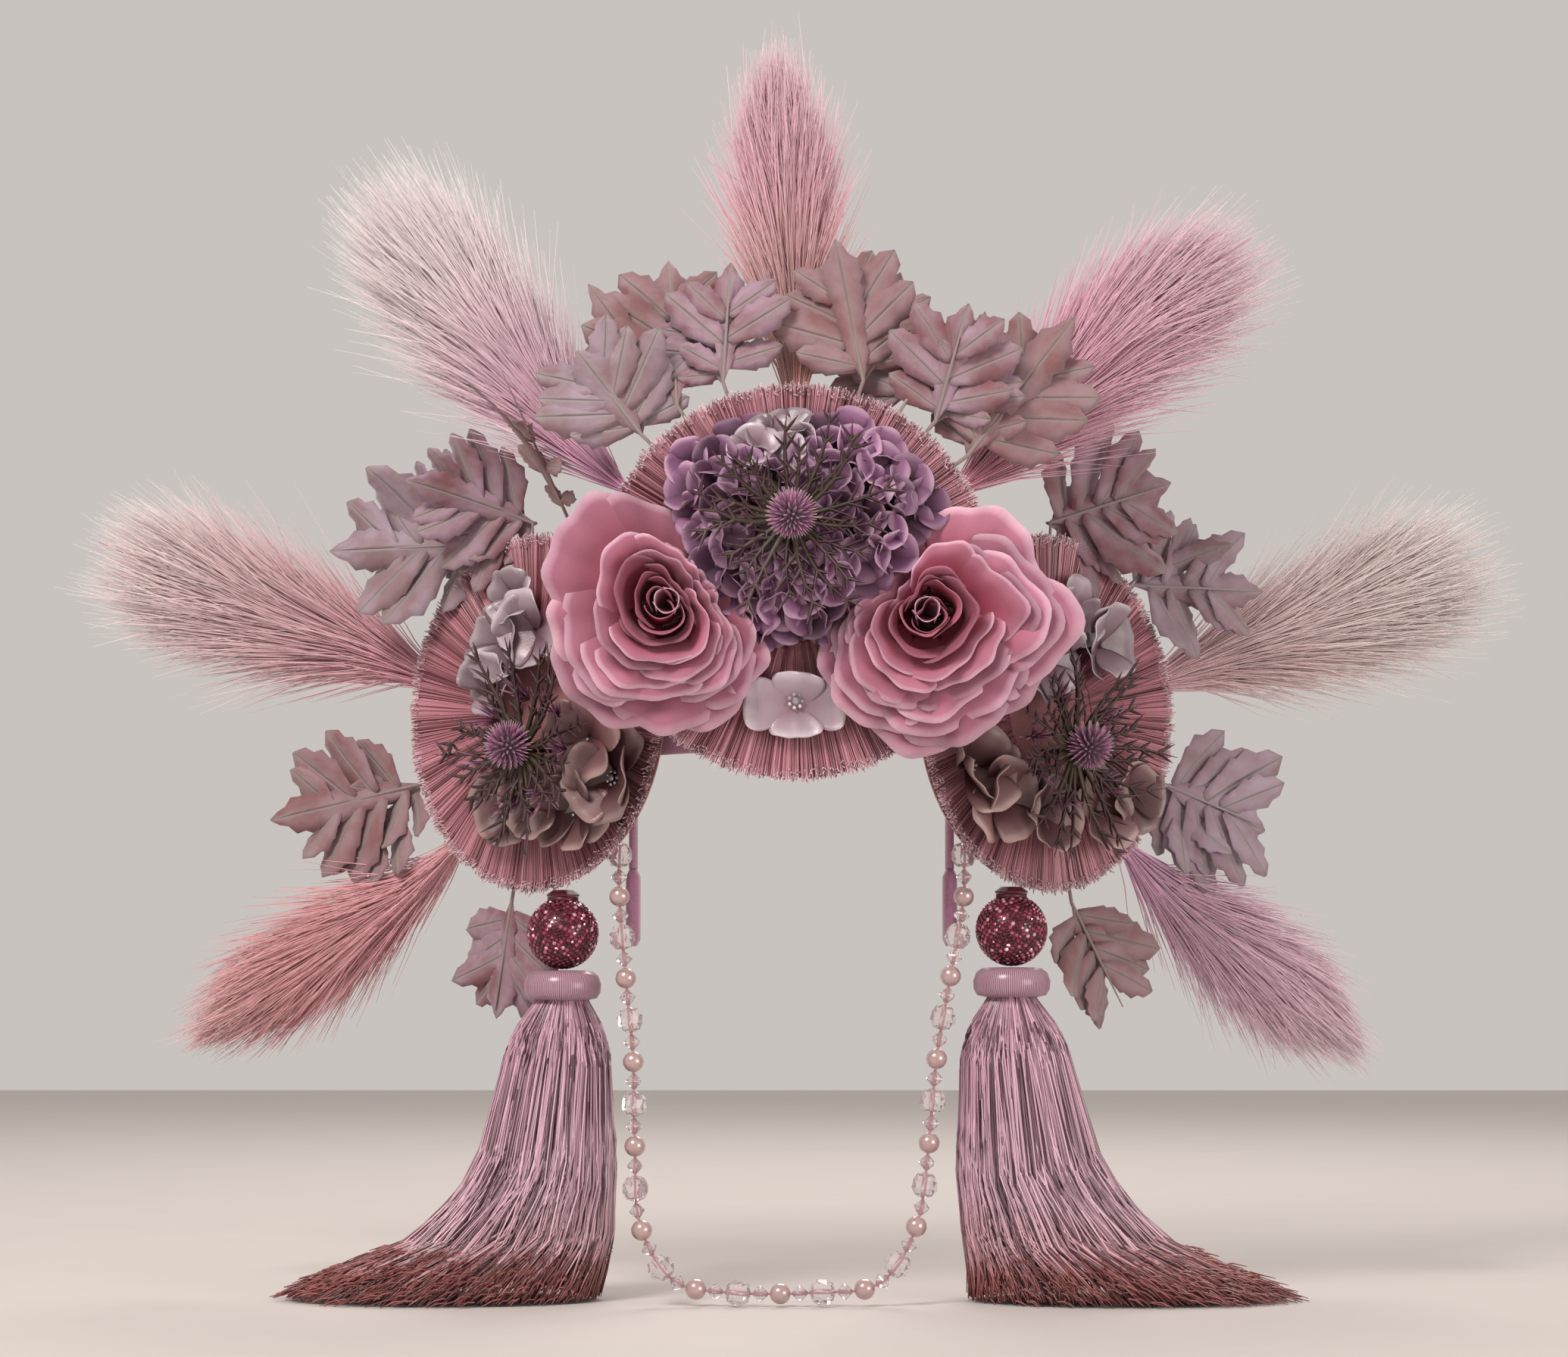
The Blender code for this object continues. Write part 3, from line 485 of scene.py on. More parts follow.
def lathe(heap, profile, sides, twist=0.0, **values):
    """Turns (radius, height) rows round Z into a closed body; `twist` offsets every other ring."""
    turn = np.arange(sides) * 2 * math.pi / sides
    rings = []
    for row, (radius, height) in enumerate(profile):
        rings.append(polar(radius, turn + twist * (row % 2) * math.pi / sides, height))
    values.setdefault("along", np.repeat(np.linspace(0, 1, len(profile)), sides))
    heap.add(np.array(rings), tube_faces(len(profile), sides), **values)
    return heap


def copies(name, places, headings, sizes, profile, sides, finish, seed=1, smooth=False, twist=0.0):
    """A copy of one turned shape on each place, facing along its heading."""
    pattern = lathe(Heap(), profile, sides, twist).object("pattern", smooth=smooth)
    heap = Heap()
    heap.add(places, heading=headings, size=sizes)
    made = grown(heap.object(name), COPIES, Pattern=pattern, Seed=seed, Finish=finish)
    bpy.data.objects.remove(pattern)
    return made


def joined(first, *others):
    """One object from several, so that a flower or a leaf is one piece."""
    with bpy.context.temp_override(active_object=first, selected_editable_objects=[first, *others]):
        bpy.ops.object.join()
    return first


print("copies tree ready")

# %% [markdown]
# ## Camera, floor and light
#
# The headdress is about 740 mm wide and hangs its tassels down to the floor. A long lens two metres away
# keeps the flowers' proportions. Soft boxes above and at both sides make satin shine without hard
# shadows, and the world is the same warm grey as the paper.

# %% Camera, floor and lights
EYE = Vector((0.0, -2.0, -0.175))
AIM = Vector((-0.0037, 0.0, -0.0398))
FRAME_WIDTH = 0.776
FLOOR_Z = -0.3443
SENSOR = 36.0

lens = bpy.data.cameras.new("portrait_lens")
lens.sensor_width = SENSOR
lens.lens = SENSOR * (AIM - EYE).length / FRAME_WIDTH
camera = bpy.data.objects.new("camera", lens)
camera.location = EYE
camera.rotation_euler = (AIM - EYE).to_track_quat("-Z", "Y").to_euler()
bpy.context.scene.collection.objects.link(camera)
bpy.context.scene.camera = camera

world = bpy.data.worlds.new("studio_air")
world.use_nodes = True
air = world.node_tree.nodes["Background"].inputs
air["Color"].default_value = linear("#d2ccc8")
air["Strength"].default_value = 0.9
bpy.context.scene.world = world
bpy.context.scene.view_settings.view_transform = "Standard"


def soft_box(name, place, aim, size, watts, colour="#fff8f2"):
    light = bpy.data.lights.new(name, "AREA")
    light.shape, light.size, light.energy, light.color = "SQUARE", size, watts, linear(colour)[:3]
    made = bpy.data.objects.new(name, light)
    made.location = place
    made.rotation_euler = (Vector(aim) - Vector(place)).to_track_quat("-Z", "Y").to_euler()
    bpy.context.scene.collection.objects.link(made)


soft_box("key_box", (-0.9, -1.4, 1.3), (0, 0, -0.05), 0.7, 34)
soft_box("fill_box", (1.4, -1.3, 0.0), (0, 0, -0.05), 1.0, 14)
soft_box("back_box", (0.2, 1.4, 1.2), (0, 0, 0), 1.0, 14)

sheet = Heap()
reach = 3000.0
sheet.add([(-reach, -reach, 0), (reach, -reach, 0), (reach, reach, 0), (-reach, reach, 0)], [(0, 1, 2, 3)])
paper = clouded("pale_paper", "#c9c3bf", "#cdc7c3", 40.0, Roughness=0.9)
floor = sheet.object("paper_floor", paper, smooth=False)
for vertex in floor.data.vertices:
    vertex.co.z = FLOOR_Z
print("camera lens", round(lens.lens, 1), "mm")

# %% [markdown]
# ## Where things sit
#
# Three discs of satin fringe carry everything. The middle one faces the front, and the side ones are
# turned by 42 degrees. A point on a disc is given by (u, v, w): across, up, and out from its back.

# %% The discs' frames
DISC_PLACE = {
    "centre": ((2.0, -86.3, 0.0), 0.0, 95.0),
    "left": ((-124.0, 0.74, -57.0), -42.0, 89.0),
    "right": ((124.0, 0.74, -57.0), 42.0, 89.0),
}
DISC_WALL = 6.0
RIM_CLEAR = 7.0
MOUNTED = 0.3
STEPS_A_SPAN = 40


def facing(disc):
    """Across, up and outward directions of a disc, as three rows."""
    yaw = math.radians(DISC_PLACE[disc][1])
    return np.array([(math.cos(yaw), math.sin(yaw), 0), (0, 0, 1), (math.sin(yaw), -math.cos(yaw), 0)])


def on_disc(disc, uvw):
    """Points given in a disc's own directions, in millimetres of the frame."""
    return np.asarray(uvw, float) @ facing(disc) + np.array(DISC_PLACE[disc][0])


def direction(disc, uvw):
    """The direction in the frame of one that is given in a disc's own directions."""
    return unit(np.asarray(uvw, float) @ facing(disc))


def smooth_path(points, count):
    """A smooth path through a few points, at even steps of length."""
    points = np.asarray(points, float)
    ends = np.vstack([2 * points[0] - points[1], points, 2 * points[-1] - points[-2]])
    rows = []
    for a, b, c, d in zip(ends, ends[1:], ends[2:], ends[3:]):
        for t in np.linspace(0, 1, STEPS_A_SPAN, endpoint=False):
            bend = (2 * a - 5 * b + 4 * c - d) * t**2 + (3 * b - a - 3 * c + d) * t**3
            rows.append(0.5 * (2 * b + (c - a) * t + bend))
    rows = np.array(rows + [points[-1]])
    run = np.concatenate([[0], np.cumsum(np.linalg.norm(np.diff(rows, axis=0), axis=1))])
    even = np.linspace(0, run[-1], count)
    return looked_up(even, run, rows)


print("disc normals:", {disc: facing(disc)[2].round(2).tolist() for disc in DISC_PLACE})

# %% [markdown]
# ## Plumes
#
# A pampas or dyed grass plume is a stem with thousands of silky hairs. Each hair leaves the stem at a
# narrow angle and bends along it, so the plume is full in the middle and ends in a soft point. The
# hairs are paths for the fibre tree: each one starts on the stem, leans out by its own share, and
# droops a little at its end.


# %% Plume hairs
PLUMES = {
    # name: (disc, seat on the disc, low, middle and tip, full width, how blunt the tip is)
    "plume_top": ("centre", (0, 62), [(2, -50, 112), (-3, -28, 195), (-7, -20, 270)], 70, 0.2),
    "plume_upper_left": ("centre", (-70, 36), [(-100, -42, 66), (-158, -12, 140), (-214, 8, 210)], 88, 0.55),
    "plume_upper_right": ("centre", (66, 36), [(98, -42, 62), (168, -12, 134), (230, 8, 182)], 84, 0.5),
    "plume_mid_left": ("left", (-60, 10), [(-190, 76, -30), (-270, 84, 0), (-360, 96, 38)], 90, 0.65),
    "plume_mid_right": ("right", (60, 10), [(190, 76, -34), (272, 84, -4), (364, 96, 30)], 86, 0.65),
    "plume_lower_left": ("left", (-44, -50), [(-176, 58, -132), (-238, 66, -174), (-304, 70, -218)], 70, 0.12),
    "plume_lower_right": ("right", (44, -50), [(180, 58, -136), (236, 66, -180), (290, 70, -224)], 66, 0.12),
}
PLUME_HAIRS = 3100
PLUME_LOCKS = 36
GOLDEN_ANGLE = math.pi * (3 - math.sqrt(5))
# Shares of the stem: the first hair's start, how far on the last one starts, the shortest and the longest
FIRST_HAIR, HAIRY_RUN, SHORTEST, LONGEST = 0.05, 0.6, 0.3, 0.55
LAST_END, END_SPREAD = 1.02, 0.22
LOCK_DROOP, HAIR_DROOP, SAG = 5.0, 3.0, 2.0
PLUME_STATIONS = [0.1, 0.3, 0.5, 0.72, 0.9, 1.0]
HAIR_RUN = np.array([0.0, 0.55, 1.0])
HAIR_RADIUS = np.array([0.3, 0.36, 0.08])
PLUME_FLATNESS = 0.6
STRAY_HAIRS = 0.07
STRAY_REACH = 1.3
STEM_BACK = -0.9
STEM_POINTS = 64
STEM_RADIUS = np.linspace(1.4, 0.5, 24)


def plume(name, seed):
    disc, seat, route, width, blunt = PLUMES[name]
    rng = np.random.default_rng(seed)
    stem = smooth_path([on_disc(disc, (*seat, STEM_BACK))] + route, STEM_POINTS)
    heading = unit(np.gradient(stem, axis=0))
    side = unit(np.cross(heading, (0.0, 1.0, 0.0)))
    back = np.cross(side, heading)
    # Each hair leaves the stem at `start`, follows it, and spreads to its own share of the outline
    start = FIRST_HAIR + HAIRY_RUN * rng.random(PLUME_HAIRS) ** 0.9
    longest = start + rng.uniform(SHORTEST, LONGEST, PLUME_HAIRS)
    end = np.minimum(longest, LAST_END - END_SPREAD * rng.random(PLUME_HAIRS) ** 1.4)
    # Hairs cling together in locks, and each lock has its own way and its own bend
    lock = rng.integers(0, PLUME_LOCKS, PLUME_HAIRS)
    spin = lock * GOLDEN_ANGLE + rng.normal(0, 0.5, PLUME_HAIRS)
    # A few hairs fly free of the outline
    spread = rng.random(PLUME_HAIRS) ** 0.55 * np.where(rng.random(PLUME_HAIRS) < STRAY_HAIRS, STRAY_REACH, 1.0)
    place = start[:, None] + (end - start)[:, None] * HAIR_RUN
    index = np.clip(place, 0, 1) * (STEM_POINTS - 1)
    middle, along, out, deep = (looked_up(index, range(STEM_POINTS), rows) for rows in (stem, heading, side, back))
    length = np.linalg.norm(np.diff(stem, axis=0), axis=1).sum()
    middle = middle + along * (np.maximum(place - 1, 0) * length)[..., None]
    outline = [0.22, 0.6, 0.95, 1.1, 0.6 + 0.5 * blunt, blunt]
    half = width / 2 * np.interp(place, PLUME_STATIONS, outline)
    bend = rng.normal(0, 0.16, PLUME_HAIRS)[:, None] * HAIR_RUN**2
    away = half * spread[:, None] * (HAIR_RUN**1.05)
    turn = spin[:, None] + bend
    paths = middle + out * (away * np.cos(turn))[..., None]
    paths = paths + deep * (away * np.sin(turn) * PLUME_FLATNESS)[..., None]
    droop = rng.normal(0, LOCK_DROOP, (PLUME_LOCKS, 3))[lock] + rng.normal(0, HAIR_DROOP, (PLUME_HAIRS, 3))
    paths = paths + (droop - (0, 0, SAG))[:, None] * (HAIR_RUN**2)[None, :, None]
    heap = Heap()
    lay_fibres(heap, paths, HAIR_RADIUS, rng.random(PLUME_HAIRS) ** 0.7)
    # The dye follows the plume from its core to its pale ends
    heap.values["along"] = [np.clip(0.75 * (place - 0.1) + 0.3 * spread[:, None] * HAIR_RUN, 0, 1).ravel()]
    bare = smooth_path([on_disc(disc, (*seat, STEM_BACK))] + route, len(STEM_RADIUS))
    lay_fibres(heap, [bare], STEM_RADIUS, [0.5], 0.0, 0.3)
    return fibres(name + "_hairs", heap, plume_fibre[name])


for seed, name in enumerate(PLUMES):
    place_piece(plume(name, seed + 1), "plume", name)

# %% [markdown]
# ## Discs of satin fringe
#
# Each rosette is a strip of satin fringe wound round a felt disc: the strands lie side by side from the
# middle to the rim, where they are cut and stand up as a soft brush. Geometry Nodes make the strands
# from paths, and the felt disc behind them is turned from a short profile.

# %% Felt discs with their fringe
FRINGE_LAYERS = [
    # start as a share of the radius, height over the back, share of the strands
    (0.30, 3.9, 0.62), (0.34, 4.4, 0.38),
]
FRINGE_STRANDS = 2400
FRINGE_RUN = np.array([0.0, 0.92, 1.0])
FRINGE_RISE = np.array([0.0, 0.4, 1.0])
FINE_LOCKS, BROAD_LOCKS = 47, 19
BRUSH_HEIGHT = 4.2
RIM_TUFTS = 1000
TUFT_FOOT = 4.0
FELT_EDGE = [(6, 0.5), (2.5, 1.2), (2.0, 2.6), (6, 3.2)]
FELT_SIDES = 72
NO_RADIUS = 0.02


def felt_disc(disc):
    """The plain felt plate, turned from the steps of its edge: how far inside the rim, and how high."""
    radius = DISC_PLACE[disc][2]
    low, high = FELT_EDGE[0][1], FELT_EDGE[-1][1]
    profile = [(NO_RADIUS, low)] + [(radius - inside, w) for inside, w in FELT_EDGE] + [(NO_RADIUS, high)]
    plate = lathe(Heap(), profile, FELT_SIDES)
    plate.points = [on_disc(disc, plate.points[0])]
    return plate.object("felt_" + disc, base_felt, smooth=False)


def fringe(disc, seed):
    rng = np.random.default_rng(seed)
    radius = DISC_PLACE[disc][2]
    heap = Heap()
    for inner, height, share in FRINGE_LAYERS:
        count = int(FRINGE_STRANDS * share)
        angle = (np.arange(count) + rng.random(count) * 0.8) / count * 2 * math.pi
        # Strands gather into flat locks, as a combed fringe does, and the rim stands up a little
        lock = (np.sin(angle * FINE_LOCKS + 3 * np.sin(angle * 5)) + np.sin(angle * BROAD_LOCKS)) / 2
        rim = radius - 1.2 + rng.normal(0, 0.8, count) + 0.7 * lock
        run = radius * inner + (rim - radius * inner)[:, None] * FRINGE_RUN
        turn = angle[:, None] + (rng.normal(0, 0.012, count) + 0.008 * lock)[:, None] * FRINGE_RUN
        brush = BRUSH_HEIGHT * 0.45 * (0.55 + 0.45 * rng.random(count)[:, None])
        rows = polar(run, turn, height + 0.5 * lock[:, None] + FRINGE_RISE * brush)
        # Painted shade: strands lying low in a lock are darker and raised ones lighter, over a random tone
        tone = np.clip(0.5 + 0.3 * lock + rng.normal(0, 0.3, count), 0, 1)
        lay_fibres(heap, on_disc(disc, rows), [0.34, 0.4, 0.28], tone, 0.25, 1.0)
    # The cut ends of the strip: short tufts that stand up along the rim
    angle = rng.random(RIM_TUFTS) * 2 * math.pi
    foot = polar(radius - 6.5 + 5.0 * rng.random(RIM_TUFTS), angle, TUFT_FOOT)
    lean = np.pad(rng.normal(0, 1.0, (RIM_TUFTS, 2)), ((0, 0), (0, 1)))
    end = foot + lean + polar(1.2, angle, 1.6 + BRUSH_HEIGHT * 0.6 * rng.random(RIM_TUFTS))
    rows = np.stack([foot, end], axis=1)
    lay_fibres(heap, on_disc(disc, rows), [0.45, 0.3], 0.4 + 0.6 * rng.random(RIM_TUFTS), 0.75, 1.0)
    return fibres("fringe_" + disc, heap, fringe_satin)


for seed, disc in enumerate(DISC_PLACE):
    place_piece(fringe(disc, 20 + seed), "satin_fringe", "disc_" + disc)
    place_piece(felt_disc(disc), "satin_fringe")

# %% [markdown]
# ## Petals
#
# A silk petal is one thin sheet with a pinched root, a cupped middle and a wavy lip. Every flower here
# is made from one petal function, which lays a small grid from root to lip, and Solidify gives the sheet
# its wall. What differs from flower to flower is only the table of its petals.


# %% The petal function
def petal(heap, root, along, up, length, width, cup=0.2, curl=0.0, ruffle=0.0, waves=3.0, phase=0.0,
          point=0.0, grid=(7, 9), tone=0.8, along_from=0.0):
    """A petal: `along` is its run, `up` the side it cups to, `curl` bends its lip back, `point` sharpens it."""
    along = unit(along)
    up = unit(np.asarray(up, float) - np.dot(up, along) * along)
    across = np.cross(along, up)
    t, s = grid_runs(*grid)
    # The outline swells from a pinched root, and the lip is rounded off and drawn back at its sides
    half = width / 2 * np.sin(np.clip(t * 0.86 + 0.06, 0, 1) * math.pi * 0.62) ** 0.9
    half = half * (1 - (0.12 + point * 0.5) * np.clip((t - 0.6) / 0.4, 0, 1) ** 2)
    run = length * (t - (0.10 + 0.28 * point) * np.abs(s) ** 2.2 * t**1.5)
    lift = length * cup * (t**1.3) * (0.35 + 0.65 * s**2) + length * curl * np.clip(t - 0.55, 0, 1) ** 2 * -2.5
    lift = lift + ruffle * np.sin(s * math.pi * waves + phase) * t**3
    points = np.asarray(root, float) + run[..., None] * along
    points = points + (half * s)[..., None] * across + lift[..., None] * up
    shade = np.broadcast_to(along_from + (1 - along_from) * t, grid)
    heap.add(points, grid_faces(*grid), along=shade, tone=tone)


print("one petal function ready")

# %% [markdown]
# ## Roses
#
# A silk rose is a bud wrapped in wider and wider rings of ruffled petals, whose height and lean change
# from ring to ring. The table of reach keeps each rose as lopsided as it is in life, because both face
# away from the middle, and on one side a few large petals stay smooth.

# %% The two roses
ROSES = {
    # name: (heart, reach in steps of 30 degrees, side with the large smooth petals in degrees)
    "rose_left": ((-60, -12), [30, 27, 31, 46, 64, 62, 58, 58, 62, 58, 58, 50], 140),
    "rose_right": ((61, -16), [74, 60, 58, 53, 29, 28, 42, 54, 62, 66, 60, 62], 80),
}
ROSE_FOOT = 6.6
ROSE_RINGS = [
    # share of the reach, height of the lip, petals, ruffle in mm, lean outwards, left out on the smooth side
    (0.13, 34, 2, 0.6, 0.05, False), (0.24, 35, 3, 1.0, 0.12, False), (0.36, 34, 3, 1.4, 0.22, False),
    (0.50, 30, 4, 1.8, 0.35, True), (0.60, 27, 5, 2.0, 0.45, False), (0.70, 23, 5, 2.6, 0.52, True),
    (0.79, 20, 5, 2.8, 0.58, True), (0.88, 16, 5, 3.0, 0.64, True), (0.97, 12, 6, 3.0, 0.70, False),
    (1.03, 8, 6, 3.0, 0.75, True),
]
ROSE_GRID = (7, 13)
BUD_TURNS = (0.4, 2.5, 4.6)
SMOOTH_SIDE = 1.0
CLOCK = range(0, 361, 30)


def reach_at(reach, degrees):
    """A flower's reach in a direction, from its row of reaches in steps of 30 degrees."""
    return np.interp(np.asarray(degrees) % 360, CLOCK, reach + reach[:1])


def rose_petal(heap, heart, reach, ring, middle, rng):
    share, lip, petals, ruffle, lean, _ = ring
    t, s = grid_runs(*ROSE_GRID)
    # Petals overlap their neighbours, and the far edge of each lies inside the next one
    angle = middle + math.pi / petals * rng.uniform(1.2, 1.5) * s * (0.5 + 0.5 * t**0.6)
    far = reach_at(reach, np.degrees(angle)) * share * (1 + rng.normal(0, 0.03)) - (1.0 + 1.6 * share) * s
    # The bell opens from `near` at the foot to `far` at the lip, which waves and rolls outwards
    edge = 1 - 0.22 * np.abs(s) ** 2.6
    near = far * (1 - lean * 1.15)
    bell = near + (far - near) * t**1.35 * edge
    rise = lip * rng.uniform(0.92, 1.06) * np.sin(t * math.pi / 2) ** 0.75 * edge
    wave = ruffle * (np.sin(s * rng.uniform(3.5, 6.5) + rng.uniform(0, 6.28)) + 0.9 * np.sin(s * 12 + middle))
    roll = (0.2 + 1.1 * share) * np.clip(t - 0.8, 0, 1) * 5
    bell = bell + 0.6 * wave * t**3 + roll
    rise = rise + wave * t**3 - 0.45 * roll
    points = polar(bell, angle, ROSE_FOOT + rise) + (*heart, 0.0)
    # Deep pink dye with painted shade: each petal darkens below its pale lip, where the next layer overhangs it, and
    # the heart's petals stop short of the pale lip colour, as painted shade in the heart
    depth = np.interp(share, [0.1, 0.4, 1.0], [0.0, 0.05, 0.2])
    top = np.interp(share, [0.1, 0.5], [0.62, 1.0])
    shade = depth + (top - depth) * t**1.7 + 0.0 * s
    heap.add(on_disc("centre", points), grid_faces(*ROSE_GRID), along=shade, tone=rng.uniform(0.45, 1.0))


def rose(name, seed):
    rng = np.random.default_rng(seed)
    heart, reach, smooth = ROSES[name]
    heart = np.array(heart)
    heap = Heap()
    for ring in ROSE_RINGS:
        start = rng.random() * 2 * math.pi
        drift = rng.normal(0, 1.5 * (1.1 - ring[0]), 2)
        for k in range(ring[2]):
            middle = start + 2 * math.pi * k / ring[2] + rng.normal(0, 0.1)
            off = (middle - math.radians(smooth) + math.pi) % (2 * math.pi) - math.pi
            if not (ring[5] and abs(off) < SMOOTH_SIDE):
                rose_petal(heap, heart + drift, reach, ring, middle, rng)
    for turn in BUD_TURNS:
        petal(heap, on_disc("centre", (*heart, ROSE_FOOT + 4)), direction("centre", polar(0.3, turn, 1.0)),
              direction("centre", polar(-1.0, turn, 0.0)), 31, 15, cup=0.25, grid=(6, 7), tone=0.7, along_from=0.2)
    return walled(heap.object(name + "_silk", rose_silk), 0.35)


place_piece(rose("rose_left", 5), "rose_silk", "rose_left")
place_piece(rose("rose_right", 9), "rose_silk", "rose_right")

# %% [markdown]
# ## Hydrangea
#
# The hydrangea is a dome of some seventy four-petalled florets, each wired on its own. They follow the
# dome in a sunflower spiral, which spaces them evenly, and each one is tilted, turned and dyed a little
# differently. A few near the top are cream.

# %% Hydrangea florets
HYDRANGEA_AT = (1.8, 24)
HYDRANGEA_REACH = [66, 66, 56, 50, 58, 66, 66, 60, 54, 50, 54, 60]
HYDRANGEA_HEIGHT = 35
HYDRANGEA_FLORETS = 84
HYDRANGEA_FOOT = 6.6
FLORET_STALK = 7.5
FLORET_GRID = (4, 4)
CREAM_AT = (-8, 62)
CREAM_REACH = 14


def on_hydrangea(share, angle):
    """A place on the dome, by its share of the reach and its direction."""
    u0, v0 = HYDRANGEA_AT
    far = reach_at(HYDRANGEA_REACH, math.degrees(angle)) * share
    rise = HYDRANGEA_HEIGHT * (1 - share**2.4) ** 0.6
    return u0 + far * math.cos(angle), v0 + far * math.sin(angle), HYDRANGEA_FOOT + rise


def near_rose(u, v):
    """How far into either rose a place on the centre disc lies, as a share of the rose's reach there."""
    shares = []
    for (u0, v0), reach, _ in ROSES.values():
        shares.append(math.hypot(u - u0, v - v0) / reach_at(reach, math.degrees(math.atan2(v - v0, u - u0))))
    return min(shares)


def hydrangea(seed):
    rng = np.random.default_rng(seed)
    lilac, cream = Heap(), Heap()
    for k in range(HYDRANGEA_FLORETS):
        share, angle = 0.93 * math.sqrt((k + 0.5) / HYDRANGEA_FLORETS), k * GOLDEN_ANGLE
        u, v, w = on_hydrangea(share, angle)
        if near_rose(u, v) < 0.97:
            continue
        tilt = (rng.normal(0, 0.22), rng.normal(0, 0.22), 0.0)
        normal = direction("centre", polar(0.9 * share**2, angle, 1.0) + tilt)
        middle = on_disc("centre", (u, v, w - FLORET_STALK))
        first = unit(np.cross(normal, (rng.normal(), rng.normal(), rng.normal())))
        second = np.cross(normal, first)
        heap = cream if math.hypot(u - CREAM_AT[0], v - CREAM_AT[1]) < CREAM_REACH else lilac
        size, tone = rng.uniform(11.5, 15.0), rng.uniform(0.2, 1.0)
        for quarter in range(4):
            turn = quarter * math.pi / 2 + rng.normal(0, 0.12)
            run = math.cos(turn) * first + math.sin(turn) * second + rng.uniform(0.35, 0.75) * normal
            petal(heap, middle, run, normal, size, size * 1.35, cup=rng.uniform(-0.2, 0.5), curl=rng.uniform(-0.4, 0.7),
                  ruffle=2.4, waves=1.3, phase=rng.uniform(0, 6.28), point=0.25, grid=FLORET_GRID,
                  tone=np.clip(tone + rng.normal(0, 0.12), 0, 1))
    return joined(walled(lilac.object("hydrangea_florets", lilac_silk), 0.3),
                  walled(cream.object("cream_florets", pearl_silk), 0.3))


place_piece(hydrangea(3), "lilac_silk", "hydrangea")

# %% [markdown]
# ## Pearly petals and sea holly
#
# Beside the roses lie small bunches of dried-look petals, coated in pearl or in taupe satin. The sea
# holly has a round head of spines, held in long lobed bracts that reach out like a star. The spines are
# instances of one small cone on the points of a sphere, made real by Geometry Nodes.

# %% Bunches of coated petals
BUNCHES = {
    # name: (disc, flowers as (u, v, length of petal), finish)
    "petals_silver_left": ("left", [(-14, 34, 27), (-4, 57, 20), (8, 40, 24), (-22, 14, 20)], pearl_silk),
    "petals_taupe_left": ("left", [(60, -34, 29), (36, -48, 26), (46, -14, 27), (-10, -48, 23), (14, -40, 26)],
                          taupe_silk),
    "petals_silver_right": ("right", [(-12, 24, 27), (-32, 32, 24), (28, 34, 25), (10, 48, 21)], pearl_silk),
    "petals_taupe_right": ("right", [(-60, -28, 29), (-44, -44, 27), (-16, -50, 25), (28, -48, 24), (50, -40, 22)],
                           taupe_silk),
}
CLUSTER_FOOT = 6.6
PETALS = 5
STONES_ROUND = 7
# A cut stone: girdle, table and pointed back, as (radius, height) of a stone of radius 1
CUT_STONE = [(0.05, -0.6), (1.0, 0.0), (0.55, 0.45)]


def stone_rosette(name, disc, middles, radius):
    """A rhinestone in a ring of small ones, at the heart of each petal flower."""
    around = [(0, 0, 3.0), *polar(1.75 * radius, 0.9 * np.arange(STONES_ROUND), 2.5)]
    places = [on_disc(disc, middle + step) for middle in middles for step in around]
    sizes = ([radius] + [0.5 * radius] * STONES_ROUND) * len(middles)
    return copies(name, places, facing(disc)[2], sizes, CUT_STONE, 8, clear_gem)


def bunch(name, seed):
    disc, flowers, finish = BUNCHES[name]
    rng = np.random.default_rng(seed)
    heap, hearts = Heap(), []
    for order, (u, v, length) in enumerate(flowers):
        middle = np.array((u, v, CLUSTER_FOOT + 2.0 + 1.5 * (order % 3)))
        hearts.append(middle)
        for k in range(PETALS):
            turn = k * 2 * math.pi / PETALS + rng.normal(0, 0.25)
            run = direction(disc, polar(1.0, turn, rng.uniform(0.15, 0.9)))
            petal(heap, on_disc(disc, middle), run, facing(disc)[2], length * rng.uniform(0.8, 1.05),
                  length * rng.uniform(0.9, 1.2), cup=rng.uniform(0.0, 0.3), curl=rng.uniform(-0.3, 0.5), ruffle=2.2,
                  waves=1.6, phase=rng.uniform(0, 6.28), grid=(5, 6), tone=rng.uniform(0.2, 1.0))
    made = walled(heap.object(name + "_silk", finish))
    return joined(made, stone_rosette(name + "_stones", disc, hearts[:2], 1.9))


FLORET_AT = (0, -60)
FLORET_RADIUS = 24
# The direction of each petal, and its size
FLORET_PETALS = [(0.1, 1.0), (3.05, 1.05), (1.45, 0.72), (-1.55, 0.62)]


def floret(seed):
    rng = np.random.default_rng(seed)
    heap = Heap()
    middle = np.array((*FLORET_AT, CLUSTER_FOOT + 1.0))
    for k, (turn, size) in enumerate(FLORET_PETALS):
        run = direction("centre", polar(1.0, turn, 0.12 + 0.05 * k))
        petal(heap, on_disc("centre", middle), run, facing("centre")[2], FLORET_RADIUS * size, FLORET_RADIUS * 1.12,
              cup=0.12, curl=0.15, ruffle=1.5, waves=2.6, phase=rng.uniform(0, 6.28), grid=(8, 9), tone=0.95,
              along_from=0.3)
    made = walled(heap.object("floret_centre_silk", pearl_silk))
    return joined(made, stone_rosette("floret_stones", "centre", [middle + (0, 3, 0.5)], 1.8))


for seed, (name, row) in enumerate(BUNCHES.items()):
    place_piece(bunch(name, 70 + seed), "pearl_petal" if row[2] == pearl_silk else "taupe_petal", name)
place_piece(floret(77), "pearl_petal", "floret_centre")

